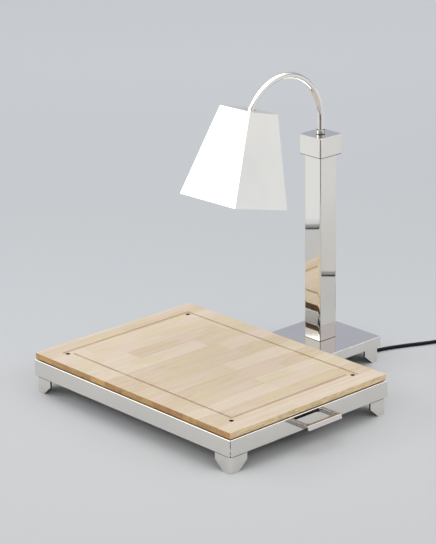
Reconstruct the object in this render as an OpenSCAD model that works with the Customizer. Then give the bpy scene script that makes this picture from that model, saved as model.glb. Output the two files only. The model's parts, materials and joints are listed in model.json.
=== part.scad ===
// Heated carving station: a drained board on a footed steel base, with a free-standing heat lamp behind it.
// Millimetres, +Z up. The origin is on the table, under the middle of the station.

/* [Carving base] */
// Length of the frame along X
frame_l = 610; // [480:5:800]
// Width of the frame along Y
frame_w = 445; // [340:5:600]
// Height of the frame's walls
frame_h = 36.7; // [32:0.1:60]
// Sheet thickness of the frame
frame_t = 1.5; // [1:0.1:3]
// Outer radius of the frame's upright corners
frame_corner_r = 2; // [1.6:0.1:6]
// Width of the inward lip at the top of the frame
top_lip = 14; // [10:0.5:22]
// Width of the inward lip at the bottom of the frame
bottom_lip = 28; // [26:0.5:50]

/* [Feet] */
// Height of the feet under the carving base
foot_h = 36.4; // [30:0.1:60]
// Reach of each leg of a base foot, from the frame's corner
foot_reach = 48; // [46:0.5:80]
// Height of the feet under the lamp
lamp_foot_h = 34.6; // [31:0.1:60]
// Reach of each leg of a lamp foot, from the lamp base's corner
lamp_foot_reach = 46; // [44:0.5:70]
// Set-back of the feet from the faces above them
foot_inset = 2.5; // [0.5:0.1:4]
// Radius of a foot's upright corner
foot_corner_r = 8.6; // [7:0.1:12]
// Length of the slanted toe at the end of a leg
foot_toe_l = 22.9; // [10:0.1:26]
// Height of the slanted toe
foot_toe_h = 19.9; // [8:0.1:24]
// Wall thickness of the feet
foot_wall = 5; // [3:0.5:6]
// Thickness of the pad that fastens a foot
foot_pad_t = 4; // [3:0.5:8]
// Width of that pad
foot_pad_w = 34; // [28:0.5:44]

/* [Handles] */
// Place of the handles along the ends of the frame
handle_y = 5; // [-30:0.5:30]
// Overall width of a handle
handle_w = 96; // [70:1:160]
// How far a handle stands out from the frame
handle_reach = 36; // [30:0.5:60]
// Height of the handle's section
handle_h = 9; // [7:0.5:16]
// Thickness of a handle's arms
handle_arm_t = 10; // [8:0.5:16]
// Depth of the grip bar at its bottom
grip_bottom_d = 12; // [8:0.5:16]
// Depth of the grip bar at its top
grip_top_d = 8; // [4:0.5:14]

/* [Drip pan] */
// Height of the pan's rolled rim, which is the gap under the board
pan_rim_h = 2; // [1.5:0.1:5]
// Set-back of the rim from the frame's outer faces
pan_rim_inset = 8; // [4:0.5:9]
// Depth of the pan
pan_depth = 25; // [18:0.5:30]
// Sheet thickness of the pan
pan_t = 1; // [0.8:0.1:2]
// Radius of the corners of the pan's rim
pan_corner_r = 8; // [3:0.5:16]

/* [Board] */
// Height of the board's visible edge
board_edge_h = 12.8; // [10:0.1:40]
// Depth of the step that drops into the pan
board_step_h = 6.2; // [3:0.1:10]
// Set-back of the board's edge from the frame's outer faces
board_inset = 2.2; // [0.5:0.1:6]
// Distance of the groove's middle from the board's edge
groove_inset = 49; // [30:0.5:80]
// Width of the juice groove
groove_w = 17; // [8:0.5:24]
// Depth of the juice groove
groove_d = 2.6; // [2:0.1:7]
// Diameter of the drain holes
drain_d = 10; // [6:0.5:14]

/* [Lamp base] */
// Gap between the frame and the lamp base
lamp_gap = 20.4; // [5:0.1:80]
// Place of the lamp along X
lamp_x = -3.7; // [-100:0.1:100]
// Width of the square lamp base
lamp_base_w = 186.4; // [170:0.1:240]
// Height of the lamp base's walls
lamp_base_h = 22.2; // [21:0.1:40]
// Sheet thickness of the lamp base
lamp_base_t = 1.5; // [1:0.1:2]
// Thickness of the bottom cover
cover_t = 2; // [1.5:0.1:3]
// Gap between the ballast plate and the walls round it
ballast_gap = 2.7; // [1:0.1:5]
// Thickness of the ballast plate
ballast_t = 6; // [4:0.5:7]

/* [Post] */
// Width of the square post
post_w = 49; // [36:0.1:54]
// Wall thickness of the post
post_t = 1.5; // [1:0.1:3]
// Outer radius of the post's upright corners
post_corner_r = 3; // [1.6:0.1:4]
// Visible height of the post, from the lamp base to the cap
post_h = 416.9; // [320:0.1:520]
// Width of the square cap
cap_w = 64.5; // [58:0.1:80]
// Height of the cap
cap_h = 43.7; // [40:0.1:70]
// Radius of the cap's upright corners
cap_corner_r = 4; // [2:0.1:8]
// Depth of the cap's pocket for the post
cap_lap = 24; // [12:0.5:26]

/* [Arm] */
// Diameter of the bent tube
tube_d = 13.6; // [11:0.1:15]
// Wall thickness of the tube
tube_t = 1.2; // [0.8:0.1:2]
// Bend radius of the arm
arch_r = 117.3; // [105:0.1:150]
// Height of the bend's centre above the cap
arch_rise = 30.2; // [15:0.1:60]
// Angle through which the tube is bent
arch_sweep = 149.3; // [140:0.1:160]
// Angle by which the arm is turned on the post
arm_turn = 2.7; // [-45:0.1:45]

/* [Shade] */
// Width of the shade's square top
shade_top_w = 85.2; // [76:0.1:110]
// Width of the shade's square mouth
shade_mouth_w = 158.8; // [140:0.1:200]
// Height of the shade along its axis
shade_h = 193.3; // [185:0.1:240]
// Sheet thickness of the shade
shade_t = 1.2; // [0.8:0.1:2]
// Tilt of the shade away from the post
shade_tilt = 14.4; // [5:0.1:20]
// Depth of the tilt axis below the shade's top
pivot_depth = 15.2; // [15:0.1:20]

/* [Bulb] */
// Largest diameter of the bulb
bulb_d = 95; // [70:1:110]
// Length of the bulb's glass
bulb_len = 100; // [80:1:104]
// Diameter of the bulb's screw base
bulb_base_d = 26; // [24:0.5:27]
// Outer diameter of the porcelain socket
socket_d = 40; // [36:0.5:48]
// Length of the porcelain socket
socket_len = 44; // [38:0.5:48]

/* [Cord] */
// Diameter of the mains cord
cord_d = 8; // [6:0.5:9]

/* [Hidden] */

// Facets of a full circle
$fn = 64;
// Overrun of every cut past the face that it opens
over = 1;
// Clearance between pieces that are slid together
slip = 0.1;
// Radial clearance of a turning fit
run_fit = 0.05;
// Gap between faces that turn or lift past each other
face_gap = 0.3;

// Colours
steel = "gainsboro";
dark_steel = "dimgray";
maple = "burlywood";
black = "#202020";
brass = "goldenrod";
porcelain = "ivory";

// Screws of the feet and handles
foot_screw_r = 2.5;
foot_screw_in = 18;
screw_head_r = 4.5;
screw_head_h = 3;
foot_nut_r = 4.6;
foot_nut_h = 4;
handle_screw_r = 2;
handle_screw_l = 14;
handle_head_r = 3.5;
handle_head_h = 2.5;
handle_corner_r = 5;
handle_fillet_r = 9;

// Rocker switch on the back wall of the lamp base
switch_x = -40;
switch_l = 19;
switch_h = 12;
bezel_t = 1.5;
bezel_lap = 1.5;
switch_depth = 12;
switch_floor = 1.2;
rocker_pin_r = 1.2;
rocker_l = 12;
rocker_h = 6.4;
rocker_lip = 2.4;
rocker_dip = 1;
rocker_back = 3;
rocker_throw = 8;
rocker_gap = 0.8;
switch_body_l = switch_l - 2 * (bezel_lap + slip);
switch_body_h = switch_h - 2 * (bezel_lap + slip);
switch_proud = rocker_lip * cos(rocker_throw) + rocker_l / 2 * sin(rocker_throw);

// Places of the two units along Y, and levels of the carving base
station_d = frame_w + lamp_gap + lamp_base_w + switch_proud;
frame_y = frame_w / 2 - station_d / 2;
lamp_y = station_d / 2 - switch_proud - lamp_base_w / 2;
frame_top = foot_h + frame_h;
board_z = frame_top + pan_rim_h;
board_top = board_z + board_edge_h;
handle_z = foot_h + frame_h / 2 - handle_h / 2;

// Pan and board sizes that follow the frame
pan_gap = 1.5;
pan_l = frame_l - 2 * (top_lip + pan_gap);
pan_w = frame_w - 2 * (top_lip + pan_gap);
step_gap = 2.5;
step_l = pan_l - 2 * (pan_t + step_gap);
step_w = pan_w - 2 * (pan_t + step_gap);
step_corner_r = 4;
rim_l = frame_l - 2 * pan_rim_inset;
rim_w = frame_w - 2 * pan_rim_inset;
board_l = frame_l - 2 * board_inset;
board_w = frame_w - 2 * board_inset;
groove_corner_r = 3;

// Levels and sizes inside the lamp base
lamp_top = lamp_foot_h + lamp_base_h;
lamp_ceiling = lamp_top - lamp_base_t;
cover_top = lamp_foot_h + cover_t;
ballast_z = lamp_ceiling - ballast_t;
ballast_w = lamp_base_w - 2 * (lamp_base_t + ballast_gap);
ballast_hole_d = 44;
spacer_r = 5;
pipe_r = 5;
pipe_bore_r = 3.6;
pipe_tail = 1;
tie_nut_r = 9;
tie_nut_h = 6;
tie_washer_r = 14;
tie_washer_h = 1.5;
pipe_z = lamp_ceiling - tie_washer_h - tie_nut_h - pipe_tail;
terminal_l = 52;
terminal_w = 20;
terminal_drop = 0.5;
terminal_top = pipe_z - terminal_drop;
locator_h = 6;
switch_z = (cover_top + ballast_z) / 2;

// Levels and sizes at the post and the cap
post_bore_min_r = 0.4;
post_bore_r = max(post_corner_r - post_t, post_bore_min_r);
cap_z = lamp_top + post_h;
cap_top = cap_z + cap_h;
spigot_l = 11;
spigot_z = cap_top - spigot_l;
set_screw_r = 2.5;
set_screw_drop = 5.5;
collar_r = 9.5;
collar_h = 9.5;
collar_edge = 1;

// Arm end, tilt axis and hanger
tube_r = tube_d / 2;
arch_z = cap_top + arch_rise;
fitting_r = 9;
pivot_reach = 9;
fitting_tail = 8;
lead_r = 2.5;
lead_tail = 11;
pivot_y = arch_r * cos(arch_sweep) - arch_r - pivot_reach * sin(arch_sweep);
pivot_z = arch_z + arch_r * sin(arch_sweep) + pivot_reach * cos(arch_sweep);
lead_steps = 24;
lead_path = concat(
    [[0, 0, terminal_top + face_gap]],
    [for (i = [0 : lead_steps]) arch_point(arch_sweep * i / lead_steps)],
    [arch_point(arch_sweep)
        + (pivot_reach + fitting_tail + lead_tail) * [0, -sin(arch_sweep), cos(arch_sweep)]]
);
tilt_pin_r = 3;
tilt_pin_bite = 4;
tilt_head_r = 5.5;
tilt_head_h = 2.5;
ear_gap = 0.5;
ear_t = 2;
ear_w = 16;
ear_x = fitting_r + ear_gap;
hanger_flange = 12;
bridge_drop = 4;
bridge_z = -(pivot_reach + fitting_tail + bridge_drop);
bridge_w = 44;
bridge_hole_r = 9;
slot_slack = 1.2;
slot_w = tube_d + 2 * slot_slack;
slot_from = -7;
slot_to = 19;

// Socket and bulb along the shade's axis, down from the tilt axis
socket_z = bridge_z - ear_t;
bulb_slack = 0.6;
socket_bore_len = 30;
socket_screw_y = 15;
socket_screw_r = 2;
socket_screw_l = 8;
contact_r = 5;
contact_t = 1.5;
bulb_top = socket_z - socket_len + socket_bore_len - contact_t;
bulb_base_len = 27;
bulb_tip_len = 3;
thread_ridges = 5;
thread_d = 0.5;
neck_z = bulb_top - bulb_base_len;
neck_r = bulb_base_d / 2;
neck_len = 8;
glass_t = 1.2;
face_share = 0.3;

// Cord: way of its underside from the strain relief to the coil, from the middle of the lamp base's back edge
cord_r = cord_d / 2;
cord_way = [
    [30, -29.2, 18], [33, -21.2, 18], [36, -13.2, 17], [39, -5.2, 13.5], [42, 2.8, 8], [45, 10.8, 3],
    [48, 18.8, 0.5], [51, 26.8, 0], [55, 40.8, 0], [60, 56.8, 0], [66, 72.8, 0], [73, 88.8, 0],
    [80, 104.8, 0], [88, 120.8, 0], [97, 138.8, 0], [105, 156.8, 0], [112, 176, 0], [116.5, 196, 0],
    [118.5, 216, 0.5], [119, 236, 1.5], [119.2, 247, 1.6]
];
cord_route = [for (p = cord_way) p + [0, lamp_base_w / 2, cord_r]];
cord_sides = 10;
nose_turn = -20.5;
nose_len = 26;
nose_end_r = 5.4;
elbow_r = 8.5;
gland_stub_r = 6;
gland_stub_up = 3;
gland_flange_r = 10;
gland_flange_h = 2.5;
gland_nut_r = 9;
gland_nut_h = 2.5;
gland_x = cord_route[0].x + nose_len * sin(nose_turn);
gland_y = cord_route[0].y - nose_len * cos(nose_turn);
gland_z = cord_route[0].z;
wire_r = 1.1;
wire_apart = 5;
wire_bend_r = 3.5;

// Coil: spirals in on the lower layer and out on the upper one
coil_gap = 0.6;
coil_pitch = cord_d + coil_gap;
coil_min_r = 34.5;
coil_turns = 2.75;
coil_out_turns = 2.5;
coil_tail = 30;
coil_climb = 0.25;
coil_steps = 24;
coil_sides = 6;
coil_start = cord_route[len(cord_route) - 1];
coil_heading = heading(cord_route[len(cord_route) - 2], coil_start);
coil_out_r = coil_min_r + coil_turns * coil_pitch;
coil_low_z = coil_start.z;
coil_high_z = coil_low_z + coil_pitch;
coil_mid = coil_start + cord_d * along(coil_heading) + coil_out_r * along(coil_heading - 90);
coil_exit_turn = coil_heading - 360 * (coil_turns + coil_out_turns);
coil_path = concat(
    [coil_start],
    [for (i = [0 : (coil_turns + coil_out_turns) * coil_steps]) coil_point(i / coil_steps - coil_turns)],
    [coil_point(coil_out_turns) + coil_tail * along(coil_exit_turn)]
);
plug_at = coil_path[len(coil_path) - 1];
plug_r = coil_high_z;
plug_boot_len = 24;
plug_boot_r = 6;
plug_boot_end_r = 9;
plug_len = 34;
plug_round = 5;
blade_t = 1.5;
blade_w = 6.3;
blade_len = 17;
blade_apart = 12.7;
blade_up = 3;
earth_r = 2.4;
earth_len = 21;
earth_drop = 6;
tie_t = 1.2;
tie_gap = 0.4;
tie_side_gap = 0.8;
tie_w = 10;
tie_corner_r = 4;
tie_turn = coil_heading - 90;
tie_out_turns = coil_turns - 0.5;
tie_in_turns = tie_out_turns - 2;

// Point of the bend's middle line at an angle, in the arm's frame
function arch_point(angle) = [0, arch_r * cos(angle) - arch_r, arch_z + arch_r * sin(angle)];
// Direction of travel from one point to another, as an angle about Z
function heading(a, b) = atan2(b.y - a.y, b.x - a.x);
// Unit step along such an angle
function along(angle) = [cos(angle), sin(angle), 0];
// Share of the climb from the lower layer to the upper one
function climb_share(t) = min(1, max(0, (t + coil_climb) / (2 * coil_climb)));
// Point of the coil after a number of turns, counted from the innermost place
function coil_point(t) =
    coil_mid + (coil_min_r + coil_pitch * abs(t)) * along(coil_heading + 90 - 360 * (t + coil_turns))
    + [0, 0, coil_pitch * climb_share(t)];
// Direction of a path at one of its points
function path_dir(p, i) = let(d = p[min(i + 1, len(p) - 1)] - p[max(i - 1, 0)]) d / norm(d);
// Ring of points round a path at one of its points, drawn from a direction that the path never takes
function ring(p, i, r, sides, from) =
    let(d = path_dir(p, i), c = cross(d, from), side = c / norm(c), up = cross(side, d))
    [for (k = [0 : sides - 1]) p[i] + r * (cos(360 * k / sides) * side + sin(360 * k / sides) * up)];
// Length of a path
function path_len(p) = len(p) < 2 ? 0 : sum_steps(p, 1);
function sum_steps(p, i) = i >= len(p) ? 0 : norm(p[i] - p[i - 1]) + sum_steps(p, i + 1);
// Least clear gap between turns of a coil that lie half a turn or more apart along it
function coil_least_gap(p, apart) =
    min([for (i = [0 : len(p) - 1 - apart])
        min([for (j = [i + apart : len(p) - 1]) norm(p[j] - p[i])])]) - cord_d;

// Half width of the shade's outside at a height above the tilt axis
shade_slope_share = (shade_mouth_w - shade_top_w) / 2 / shade_h;
function shade_half(z) = shade_top_w / 2 + (pivot_depth - z) * shade_slope_share;

// Shapes that several pieces share

// Rectangle with round corners, centred
module rounded_rect(l, w, r) {
    square([l - 2 * r, w], center = true);
    square([l, w - 2 * r], center = true);
    for (sx = [-1, 1], sy = [-1, 1])
        translate([sx * (l / 2 - r), sy * (w / 2 - r)])
            circle(r = r);
}

// Plate with round upright corners, centred in X and Y
module rounded_plate(l, w, h, r) {
    linear_extrude(h)
        rounded_rect(l, w, r);
}

// Block centred in X and Y
module block(l, w, h) {
    translate([-l / 2, -w / 2, 0])
        cube([l, w, h]);
}

// Ring round Z
module sleeve(h, outer_r, inner_r) {
    difference() {
        cylinder(h = h, r = outer_r);
        translate([0, 0, -over])
            cylinder(h = h + 2 * over, r = inner_r);
    }
}

// Tube of triangles along a path
module path_tube(p, r, sides, from) {
    n = len(p);
    points = [for (i = [0 : n - 1]) each ring(p, i, r, sides, from)];
    walls = [for (i = [0 : n - 2], k = [0 : sides - 1])
        let(a = i * sides + k, b = i * sides + (k + 1) % sides)
        each [[a, b, b + sides], [a, b + sides, a + sides]]];
    first_cap = [for (k = [1 : sides - 2]) [0, k + 1, k]];
    last = (n - 1) * sides;
    last_cap = [for (k = [1 : sides - 2]) [last, last + k, last + k + 1]];
    polyhedron(points = points, faces = concat(walls, first_cap, last_cap));
}

// Places children at one corner of a rectangle, turned so that their legs run inwards
module at_corner(sx, sy, l, w) {
    translate([sx * l / 2, sy * w / 2, 0])
        mirror([sx > 0 ? 1 : 0, 0, 0])
            mirror([0, sy > 0 ? 1 : 0, 0])
                children();
}

module at_base() {
    translate([0, frame_y, 0])
        children();
}

module at_lamp() {
    translate([lamp_x, lamp_y, 0])
        children();
}

module at_arm() {
    at_lamp()
        rotate([0, 0, arm_turn])
            children();
}

// Ring frame of the bend: X outwards, Y along the tube, Z along the tilt axis
module at_bend(angle) {
    at_arm()
        translate([0, -arch_r, arch_z])
            rotate([90, 0, 90])
                rotate([0, 0, angle])
                    translate([arch_r, 0, 0])
                        children();
}

// Frame of the shade: origin on the tilt axis, Z up the shade's axis
module at_shade() {
    at_arm()
        translate([0, pivot_y, pivot_z])
            rotate([-shade_tilt, 0, 0])
                children();
}

// Feet

// Side outline of a foot's leg, from the round corner to the slanted toe
module leg_outline(leg_l, h) {
    polygon([[0, 0], [leg_l - foot_toe_l, 0], [leg_l, foot_toe_h], [leg_l, h], [0, h]]);
}

module foot_leg(leg_l, h) {
    translate([foot_corner_r, foot_wall, 0])
        rotate([90, 0, 0])
            linear_extrude(foot_wall)
                leg_outline(leg_l, h);
}

// Plan of a foot's pad: a square with a round outer corner
module pad_outline() {
    intersection() {
        square([foot_pad_w, foot_pad_w]);
        union() {
            translate([foot_corner_r, foot_corner_r])
                circle(r = foot_corner_r);
            translate([foot_corner_r, 0])
                square([foot_pad_w, foot_pad_w]);
            translate([0, foot_corner_r])
                square([foot_pad_w, foot_pad_w]);
        }
    }
}

// L-shaped foot under a corner at the origin, with its legs along +X and +Y
module corner_foot(h, reach) {
    leg_l = reach - foot_inset - foot_corner_r;
    color(steel)
        difference() {
            translate([foot_inset, foot_inset, 0]) {
                translate([foot_corner_r, foot_corner_r, 0])
                    rotate([0, 0, 180])
                        rotate_extrude(angle = 90)
                            translate([foot_corner_r - foot_wall, 0])
                                square([foot_wall, h]);
                foot_leg(leg_l, h);
                mirror([1, -1, 0])
                    foot_leg(leg_l, h);
                translate([0, 0, h - foot_pad_t])
                    linear_extrude(foot_pad_t)
                        pad_outline();
            }
            translate([foot_screw_in, foot_screw_in, h - foot_pad_t - over])
                cylinder(h = foot_pad_t + 2 * over, r = foot_screw_r + slip);
        }
}

module base_foot(sx, sy) {
    at_base()
        at_corner(sx, sy, frame_l, frame_w)
            corner_foot(foot_h, foot_reach);
}

module lamp_foot(sx, sy) {
    at_lamp()
        at_corner(sx, sy, lamp_base_w, lamp_base_w)
            corner_foot(lamp_foot_h, lamp_foot_reach);
}

module foot_front_left() {
    base_foot(-1, -1);
}

module foot_front_right() {
    base_foot(1, -1);
}

module foot_back_left() {
    base_foot(-1, 1);
}

module foot_back_right() {
    base_foot(1, 1);
}

module lamp_foot_front_left() {
    lamp_foot(-1, -1);
}

module lamp_foot_front_right() {
    lamp_foot(1, -1);
}

module lamp_foot_back_left() {
    lamp_foot(-1, 1);
}

module lamp_foot_back_right() {
    lamp_foot(1, 1);
}

// Places children at the foot screws of a unit
module at_foot_screws(l, w) {
    for (sx = [-1, 1], sy = [-1, 1])
        translate([sx * (l / 2 - foot_screw_in), sy * (w / 2 - foot_screw_in), 0])
            children();
}

module foot_screws() {
    shank_z = foot_h - foot_pad_t;
    shank_l = foot_pad_t + frame_t + foot_nut_h;
    color(steel)
        at_base()
            at_foot_screws(frame_l, frame_w) {
                translate([0, 0, shank_z - screw_head_h])
                    cylinder(h = screw_head_h, r = screw_head_r);
                translate([0, 0, shank_z])
                    cylinder(h = shank_l, r = foot_screw_r);
                translate([0, 0, foot_h + frame_t])
                    cylinder(h = foot_nut_h, r = foot_nut_r, $fn = 6);
            }
}

module lamp_foot_screws() {
    shank_z = lamp_foot_h - foot_pad_t;
    color(steel)
        at_lamp()
            at_foot_screws(lamp_base_w, lamp_base_w) {
                translate([0, 0, shank_z - screw_head_h])
                    cylinder(h = screw_head_h, r = screw_head_r);
                translate([0, 0, shank_z])
                    cylinder(h = ballast_z + ballast_t / 2 - shank_z, r = foot_screw_r);
            }
}

// Carving base

module at_handle_screws() {
    for (side = [-1, 1])
        translate([0, side * (handle_w / 2 - handle_arm_t / 2), handle_z + handle_h / 2])
            rotate([0, 90, 0])
                children();
}

module frame() {
    inner_r = frame_corner_r - frame_t;
    color(steel)
        at_base()
            difference() {
                translate([0, 0, foot_h])
                    rounded_plate(frame_l, frame_w, frame_h, frame_corner_r);
                translate([0, 0, foot_h + frame_t])
                    rounded_plate(frame_l - 2 * frame_t, frame_w - 2 * frame_t,
                        frame_h - 2 * frame_t, inner_r);
                translate([0, 0, foot_h - over])
                    block(frame_l - 2 * bottom_lip, frame_w - 2 * bottom_lip, frame_h);
                translate([0, 0, foot_h + frame_h / 2])
                    block(frame_l - 2 * top_lip, frame_w - 2 * top_lip, frame_h);
                translate([0, 0, foot_h - over])
                    at_foot_screws(frame_l, frame_w)
                        cylinder(h = frame_t + 2 * over, r = foot_screw_r + slip);
                for (side = [-1, 1])
                    translate([side * frame_l / 2, handle_y, 0])
                        at_handle_screws()
                            cylinder(h = 4 * frame_t, r = handle_screw_r + slip, center = true);
            }
}

// Handle standing out along +X from the origin
module handle() {
    color(steel)
        difference() {
            intersection() {
                translate([0, 0, handle_z])
                    linear_extrude(handle_h)
                        difference() {
                            rounded_rect(2 * handle_reach, handle_w, handle_corner_r);
                            rounded_rect(2 * (handle_reach - grip_bottom_d), handle_w - 2 * handle_arm_t,
                                handle_fillet_r);
                        }
                translate([0, handle_w / 2 + over, handle_z])
                    rotate([90, 0, 0])
                        linear_extrude(handle_w + 2 * over)
                            polygon([
                                [0, 0], [handle_reach, 0],
                                [handle_reach - grip_bottom_d + grip_top_d, handle_h], [0, handle_h]
                            ]);
            }
            at_handle_screws()
                translate([0, 0, -over])
                    cylinder(h = handle_screw_l + over, r = handle_screw_r + slip);
        }
}

module handle_right() {
    at_base()
        translate([frame_l / 2, handle_y, 0])
            handle();
}

module handle_left() {
    at_base()
        mirror([1, 0, 0])
            translate([frame_l / 2, handle_y, 0])
                handle();
}

module handle_screws() {
    color(steel)
        at_base()
            for (end = [0, 1])
                mirror([end, 0, 0])
                    translate([frame_l / 2 - frame_t, handle_y, 0])
                        at_handle_screws() {
                            cylinder(h = frame_t + handle_screw_l - slip, r = handle_screw_r);
                            translate([0, 0, -handle_head_h])
                                cylinder(h = handle_head_h, r = handle_head_r);
                        }
}

// Floor of the pan, welded into the four sides
module drip_pan() {
    color(steel)
        at_base()
            translate([0, 0, board_z - pan_depth])
                block(pan_l - 2 * pan_t, pan_w - 2 * pan_t, pan_t);
}

// Wall and rim of the pan along a long side, on the -Y side of the origin
module pan_long_side() {
    color(steel) {
        translate([-pan_l / 2, -pan_w / 2, board_z - pan_depth])
            cube([pan_l, pan_t, pan_depth]);
        translate([0, 0, frame_top])
            linear_extrude(pan_rim_h)
                intersection() {
                    rounded_rect(rim_l, rim_w, pan_corner_r);
                    translate([-rim_l / 2, -rim_w / 2])
                        square([rim_l, (rim_w - pan_w) / 2 + pan_t]);
                }
    }
}

// Wall and rim of the pan along a short end, on the -X side of the origin
module pan_short_end() {
    end_w = pan_w - 2 * pan_t;
    color(steel) {
        translate([-pan_l / 2, -end_w / 2, board_z - pan_depth])
            cube([pan_t, end_w, pan_depth]);
        translate([0, 0, frame_top])
            linear_extrude(pan_rim_h)
                intersection() {
                    rounded_rect(rim_l, rim_w, pan_corner_r);
                    translate([-rim_l / 2, -end_w / 2])
                        square([(rim_l - pan_l) / 2 + pan_t, end_w]);
                }
    }
}

module pan_side_front() {
    at_base()
        pan_long_side();
}

module pan_side_back() {
    at_base()
        mirror([0, 1, 0])
            pan_long_side();
}

module pan_end_left() {
    at_base()
        pan_short_end();
}

module pan_end_right() {
    at_base()
        mirror([1, 0, 0])
            pan_short_end();
}

// Plan of the juice groove: a ring with round corners
module groove_outline(run_l, run_w) {
    difference() {
        rounded_rect(run_l + groove_w, run_w + groove_w, groove_corner_r);
        rounded_rect(run_l - groove_w, run_w - groove_w, groove_corner_r);
    }
}

module carving_board() {
    run_l = board_l - 2 * groove_inset;
    run_w = board_w - 2 * groove_inset;
    color(maple)
        at_base()
            difference() {
                union() {
                    translate([0, 0, board_z])
                        rounded_plate(board_l, board_w, board_edge_h, frame_corner_r);
                    translate([0, 0, board_z - board_step_h])
                        rounded_plate(step_l, step_w, board_step_h, step_corner_r);
                }
                translate([0, 0, board_top - groove_d])
                    linear_extrude(groove_d + over)
                        groove_outline(run_l, run_w);
                for (sx = [-1, 1], sy = [-1, 1])
                    translate([sx * run_l / 2, sy * run_w / 2, board_z - board_step_h - over])
                        cylinder(h = board_edge_h + board_step_h + 2 * over, r = drain_d / 2);
            }
}

// Lamp base

module lamp_base_shell() {
    inner_w = lamp_base_w - 2 * lamp_base_t;
    window_l = switch_l - 2 * bezel_lap;
    window_h = switch_h - 2 * bezel_lap;
    color(steel)
        at_lamp()
            difference() {
                translate([0, 0, lamp_foot_h])
                    rounded_plate(lamp_base_w, lamp_base_w, lamp_base_h, frame_corner_r);
                translate([0, 0, lamp_foot_h - over])
                    block(inner_w, inner_w, lamp_base_h - lamp_base_t + over);
                translate([0, 0, lamp_ceiling - over])
                    cylinder(h = lamp_base_t + 2 * over, r = pipe_r + slip);
                translate([switch_x - window_l / 2, inner_w / 2 - over, switch_z - window_h / 2])
                    cube([window_l, lamp_base_t + 2 * over, window_h]);
            }
}

module ballast_plate() {
    color(dark_steel)
        at_lamp()
            difference() {
                translate([0, 0, ballast_z])
                    block(ballast_w, ballast_w, ballast_t);
                translate([0, 0, ballast_z - over])
                    cylinder(h = ballast_t + 2 * over, r = ballast_hole_d / 2);
                translate([0, 0, ballast_z - over])
                    at_foot_screws(lamp_base_w, lamp_base_w)
                        cylinder(h = ballast_t + 2 * over, r = foot_screw_r + slip);
            }
}

module lamp_base_cover() {
    cover_w = lamp_base_w - 2 * (lamp_base_t + slip);
    color(dark_steel)
        at_lamp()
            difference() {
                translate([0, 0, lamp_foot_h])
                    block(cover_w, cover_w, cover_t);
                translate([0, 0, lamp_foot_h - over]) {
                    at_foot_screws(lamp_base_w, lamp_base_w)
                        cylinder(h = cover_t + 2 * over, r = foot_screw_r + slip);
                    translate([gland_x, gland_y, 0])
                        cylinder(h = cover_t + 2 * over, r = gland_stub_r + slip);
                }
            }
}

module cover_spacers() {
    color(steel)
        at_lamp()
            at_foot_screws(lamp_base_w, lamp_base_w)
                translate([0, 0, cover_top])
                    sleeve(ballast_z - cover_top, spacer_r, foot_screw_r + slip);
}

module terminal_block() {
    color(black)
        at_lamp()
            translate([0, 0, cover_top])
                block(terminal_l, terminal_w, terminal_top - cover_top);
}

// Two wires from the strain relief to the terminal block
module supply_wires() {
    rise_z = cover_top + gland_stub_up;
    run_y = gland_y - wire_bend_r;
    color(brass)
        at_lamp()
            for (side = [-1, 1])
                translate([gland_x + side * wire_apart / 2, 0, 0]) {
                    translate([0, run_y, rise_z])
                        rotate([90, 0, 90])
                            rotate_extrude(angle = 90)
                                translate([wire_bend_r, 0])
                                    circle(r = wire_r);
                    translate([0, run_y, rise_z + wire_bend_r])
                        rotate([90, 0, 0])
                            cylinder(h = run_y - terminal_w / 2, r = wire_r);
                }
}

// Frame of the switch: origin in the back wall's outer face, Y outwards
module at_switch() {
    at_lamp()
        translate([switch_x, lamp_base_w / 2, switch_z])
            children();
}

module switch_housing() {
    well_l = rocker_l + 2 * rocker_gap;
    well_h = rocker_h + 2 * face_gap;
    color(black)
        at_switch()
            difference() {
                union() {
                    translate([-switch_l / 2, 0, -switch_h / 2])
                        cube([switch_l, bezel_t, switch_h]);
                    translate([-switch_body_l / 2, -switch_depth, -switch_body_h / 2])
                        cube([switch_body_l, switch_depth, switch_body_h]);
                }
                translate([-well_l / 2, -switch_depth + switch_floor, -well_h / 2])
                    cube([well_l, switch_depth + bezel_t, well_h]);
                cylinder(h = switch_body_h, r = rocker_pin_r + run_fit, center = true);
            }
}

// Rocker pressed in at one end; it turns on an upright pin in the wall's outer face
module switch_rocker() {
    color("firebrick")
        at_switch()
            rotate([0, 0, rocker_throw]) {
                translate([0, 0, -rocker_h / 2])
                    linear_extrude(rocker_h)
                        polygon([
                            [-rocker_l / 2, -rocker_back], [rocker_l / 2, -rocker_back],
                            [rocker_l / 2, rocker_lip], [0, rocker_lip - rocker_dip],
                            [-rocker_l / 2, rocker_lip]
                        ]);
                cylinder(h = switch_body_h - 2 * slip, r = rocker_pin_r, center = true);
            }
}

// Right-angle strain relief: a stub up through the cover and a tapered nose along the cord
module strain_relief() {
    color(black)
        at_lamp()
            translate([gland_x, gland_y, 0]) {
                translate([0, 0, gland_z])
                    cylinder(h = cover_top + gland_stub_up - gland_z, r = gland_stub_r);
                translate([0, 0, lamp_foot_h - gland_flange_h])
                    cylinder(h = gland_flange_h, r = gland_flange_r);
                translate([0, 0, gland_z]) {
                    sphere(r = elbow_r);
                    rotate([0, 0, nose_turn])
                        rotate([-90, 0, 0])
                            cylinder(h = nose_len, r1 = elbow_r, r2 = nose_end_r);
                }
            }
}

module gland_nut() {
    color(black)
        at_lamp()
            translate([gland_x, gland_y, cover_top])
                difference() {
                    cylinder(h = gland_nut_h, r = gland_nut_r, $fn = 6);
                    translate([0, 0, -over])
                        cylinder(h = gland_nut_h + 2 * over, r = gland_stub_r + run_fit);
                }
}

// Post

module post_locator() {
    plug_w = post_w - 2 * (post_t + slip);
    color(dark_steel)
        at_lamp()
            translate([0, 0, lamp_top])
                difference() {
                    rounded_plate(plug_w, plug_w, locator_h, post_bore_r);
                    translate([0, 0, -over])
                        cylinder(h = locator_h + 2 * over, r = pipe_r + slip);
                }
}

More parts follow.
